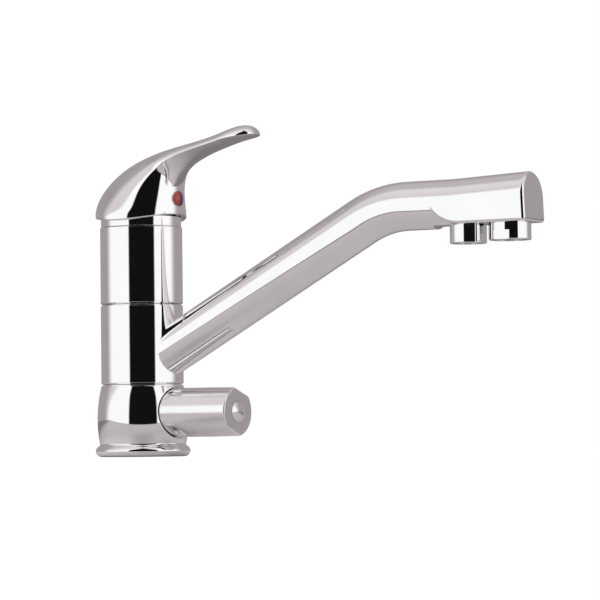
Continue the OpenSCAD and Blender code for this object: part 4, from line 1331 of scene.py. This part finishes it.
@dataclass
class Studio:
    """White sides under a grey ceiling, a dim back, a dark gap round the camera, and a table.

    The camera's place is in millimetres and degrees, the floor and the table are in metres. Spans are the two
    ends of a smooth change, over the cosine towards the camera, the rise of a direction or a distance.
    """

    azimuth: float = 33.0
    distance: float = 1730.4
    aside: float = 91.32
    height: float = 13.83
    pitch: float = 2.494
    roll: float = 0.671
    lens: float = 180.0
    sensor: float = 36.0
    clip: Span = (0.05, 50.0)
    side_level: float = 1.04
    side_span: Span = (-0.44, 0.05)
    back_level: float = 0.275
    ceiling_level: float = 0.36
    ceiling_rise: float = 0.33
    ceiling_lean: float = 0.6
    ceiling_span: Span = (0.16, 0.32)
    near_span: Span = (-0.45, 0.0)
    zenith_rise: float = 0.16
    zenith_loss: float = 0.6
    zenith_span: Span = (0.55, 0.85)
    dark_level: float = 0.006
    gap_turn: float = 3.2
    gap_span: Span = (0.784, 0.831)
    gap_narrowing: float = 0.2
    gap_heights: Span = (0.3, 0.95)
    warm: Colour = (1.03, 0.93, 0.985)
    warm_span: Span = (0.55, 0.95)
    floor_size: float = 6.0
    floor_z: float = -0.0002
    floor_glow: float = 1.10
    floor_cover: float = 0.9
    table_tint: Colour = (1.03, 0.95, 0.965)
    table_waver: float = 0.02
    table_near: float = 0.68
    table_far: float = 0.54
    table_span: Span = (0.05, 0.12)
    table_edge: float = 0.265
    table_blur: float = 0.012
    # How much darker the painted shadow makes the table top near the tap, towards the camera.
    front_painted_shadow: float = 0.34
    front_span: Span = (0.70, 0.90)
    rear_loss: float = 0.62
    rear_span: Span = (-0.05, 0.35)
    rim_w: float = 0.03
    rim_loss: float = 0.5
    rim_blur: float = 0.01

    def axes(self) -> tuple[Array, Array]:
        """Directions to the camera's right and away from it, on the floor."""
        a = math.radians(self.azimuth)
        return np.array([math.cos(a), math.sin(a), 0.0]), np.array([-math.sin(a), math.cos(a), 0.0])

    def camera(self) -> None:
        """Sets the camera at the photograph's place, tipped up and rolled a little."""
        right, away = self.axes()
        up = np.array([0.0, 0.0, 1.0])
        pitch, roll = math.radians(self.pitch), math.radians(self.roll)
        ahead = away * math.cos(pitch) + up * math.sin(pitch)
        above = up * math.cos(pitch) - away * math.sin(pitch)
        across = right * math.cos(roll) - above * math.sin(roll)
        above = above * math.cos(roll) + right * math.sin(roll)
        place = (-away * self.distance + right * self.aside + up * self.height) * MM
        data = bpy.data.cameras.new("camera")
        data.lens = self.lens
        data.sensor_width = self.sensor
        data.clip_start, data.clip_end = self.clip
        made = linked("camera", data)
        turn = Matrix((across, above, -ahead)).transposed()
        made.matrix_world = Matrix.Translation(Vector(place)) @ turn.to_4x4()
        bpy.context.scene.camera = made

    def world(self) -> None:
        """Lights evenly, shows white to the camera and the studio's panels to polished metal.

        The sides' upper edge sinks away from the camera, as the edge of a long panel does, and the grey above
        it is darker at the back. The dark gap is turned a little to the right and narrows upward.
        """
        world = bpy.data.worlds.new("studio")
        bpy.context.scene.world = world
        nodes = Nodes.of(world)
        x, y, z = nodes.place("Generated")
        right, away = self.axes()
        level = (x * x + y * y).math("SQRT").math("MAXIMUM", 1e-4)
        toward = along(x, y, -away) / level
        turn = math.radians(self.gap_turn)
        facing = along(x, y, right * math.sin(turn) - away * math.cos(turn)) / level
        gap = (facing - self.gap_narrowing * z.between(*self.gap_heights)).between(*self.gap_span)
        wall = self.back_level + (self.side_level - self.back_level) * toward.between(*self.side_span)
        ceiling = (z - self.ceiling_lean * toward).between(*self.ceiling_span)
        near = toward.between(*self.near_span)
        zenith = self.zenith_rise * z.between(*self.zenith_span) * (1.0 - self.zenith_loss * near)
        overhead = self.ceiling_level + self.ceiling_rise * near + zenith
        glow = wall + ceiling * (overhead - wall)
        glow = glow * (1.0 - gap) + gap * self.dark_level
        tint = nodes.mix(glow.between(*self.warm_span), self.warm, WHITE)
        panels = nodes.add("ShaderNodeBackground", {}, {"Color": tint, "Strength": glow})
        plain = nodes.add("ShaderNodeBackground", {}, {"Color": rgba(WHITE), "Strength": 1.0})
        path = nodes.add("ShaderNodeLightPath", {}, {})
        chosen = nodes.blend(path.outputs["Is Glossy Ray"], plain, panels)
        nodes.add("ShaderNodeOutputWorld", {}, {"Surface": chosen.outputs[0]})

    def floor_material(self) -> bpy.types.Material:
        """A pale floor: white to the camera with a faint shadow, and in polished metal a lit grey table top.

        Near the tap, on the side towards the camera, the table top carries a painted shadow, a darker colour.
        The table top ends with a dark rim in front of the tap, and polished metal sees past it.

        Returns:
            The new material.
        """
        made = bpy.data.materials.new("pale_floor")
        nodes = Nodes.of(made)
        x, y, _ = nodes.place("Object")
        _, away = self.axes()
        behind = along(x, y, away)
        ahead = behind * -1.0
        reach = (x * x + y * y).math("SQRT") + self.table_waver * nodes.noise(3.0)
        # Painted shadow: the table top's colour is darker near the tap on the side towards the camera.
        near = self.table_near - self.front_painted_shadow * (ahead / reach).between(*self.front_span)
        level = near + (self.table_far - near) * reach.between(*self.table_span)
        level = level * (1.0 - self.rear_loss * behind.between(*self.rear_span))
        edge, blur = self.table_edge, self.table_blur
        rim_x = edge - self.rim_w
        rim = ahead.between(rim_x - self.rim_blur, rim_x + self.rim_blur)
        shade = nodes.mix(level * (1.0 - self.rim_loss * rim), BLACK, self.table_tint)
        matte = nodes.add("ShaderNodeBsdfDiffuse", {}, {"Color": shade})
        white = nodes.add("ShaderNodeEmission", {}, {"Color": rgba(WHITE), "Strength": self.floor_glow})
        path = nodes.add("ShaderNodeLightPath", {}, {})
        seen = nodes.value(path, "Is Camera Ray") * self.floor_cover
        past = nodes.value(path, "Is Glossy Ray") * ahead.between(edge - blur, edge + blur)
        clear = nodes.add("ShaderNodeBsdfTransparent", {}, {})
        ended = nodes.blend(past, nodes.blend(seen, matte, white), clear)
        nodes.add("ShaderNodeOutputMaterial", {}, {"Surface": ended.outputs[0]})
        return made

    def floor(self) -> None:
        """Lays a flat round floor at worktop level."""
        ring = arc((0.0, 0.0), self.floor_size, 0.0, 360.0, 97)[:-1]
        points = np.column_stack([ring, np.full(len(ring), self.floor_z)])
        mesh = bpy.data.meshes.new("floor")
        mesh.from_pydata(points.tolist(), [], [list(range(len(points)))])
        mesh.materials.append(self.floor_material())
        linked("floor", mesh)

    def build(self) -> None:
        """Sets up the camera, the surroundings and the floor."""
        bpy.context.scene.view_settings.view_transform = "Standard"
        self.camera()
        self.world()
        self.floor()


def dress_inside(frame: dict[str, Any], finish: dict[str, bpy.types.Material]) -> None:
    """Gives every node of the loaded frame the finish of its slot in the record.

    Args:
        finish: Materials by slot.
    """
    slots = {part["node"]: part["material_slot"] for part in frame["record"]["subparts"]}
    for name, node in frame["nodes"].items():
        node.data.materials.clear()
        node.data.materials.append(finish[slots[name]])


def main() -> None:
    """Builds the tap's pieces in order."""
    logging.basicConfig(level=logging.INFO, format="%(name)s: %(message)s")
    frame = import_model()
    finish = {slot: made.material() for slot, made in FINISHES.items()}
    dress_inside(frame, finish)
    chrome = finish["chrome"]
    Stand().build(chrome)
    for sleeve in SLEEVES:
        sleeve.build(chrome)
    SpoutArm().build(chrome)
    Lever().build(finish)
    FilterKnob().build(finish)
    Studio().build()


if __name__ == "__main__":
    main()
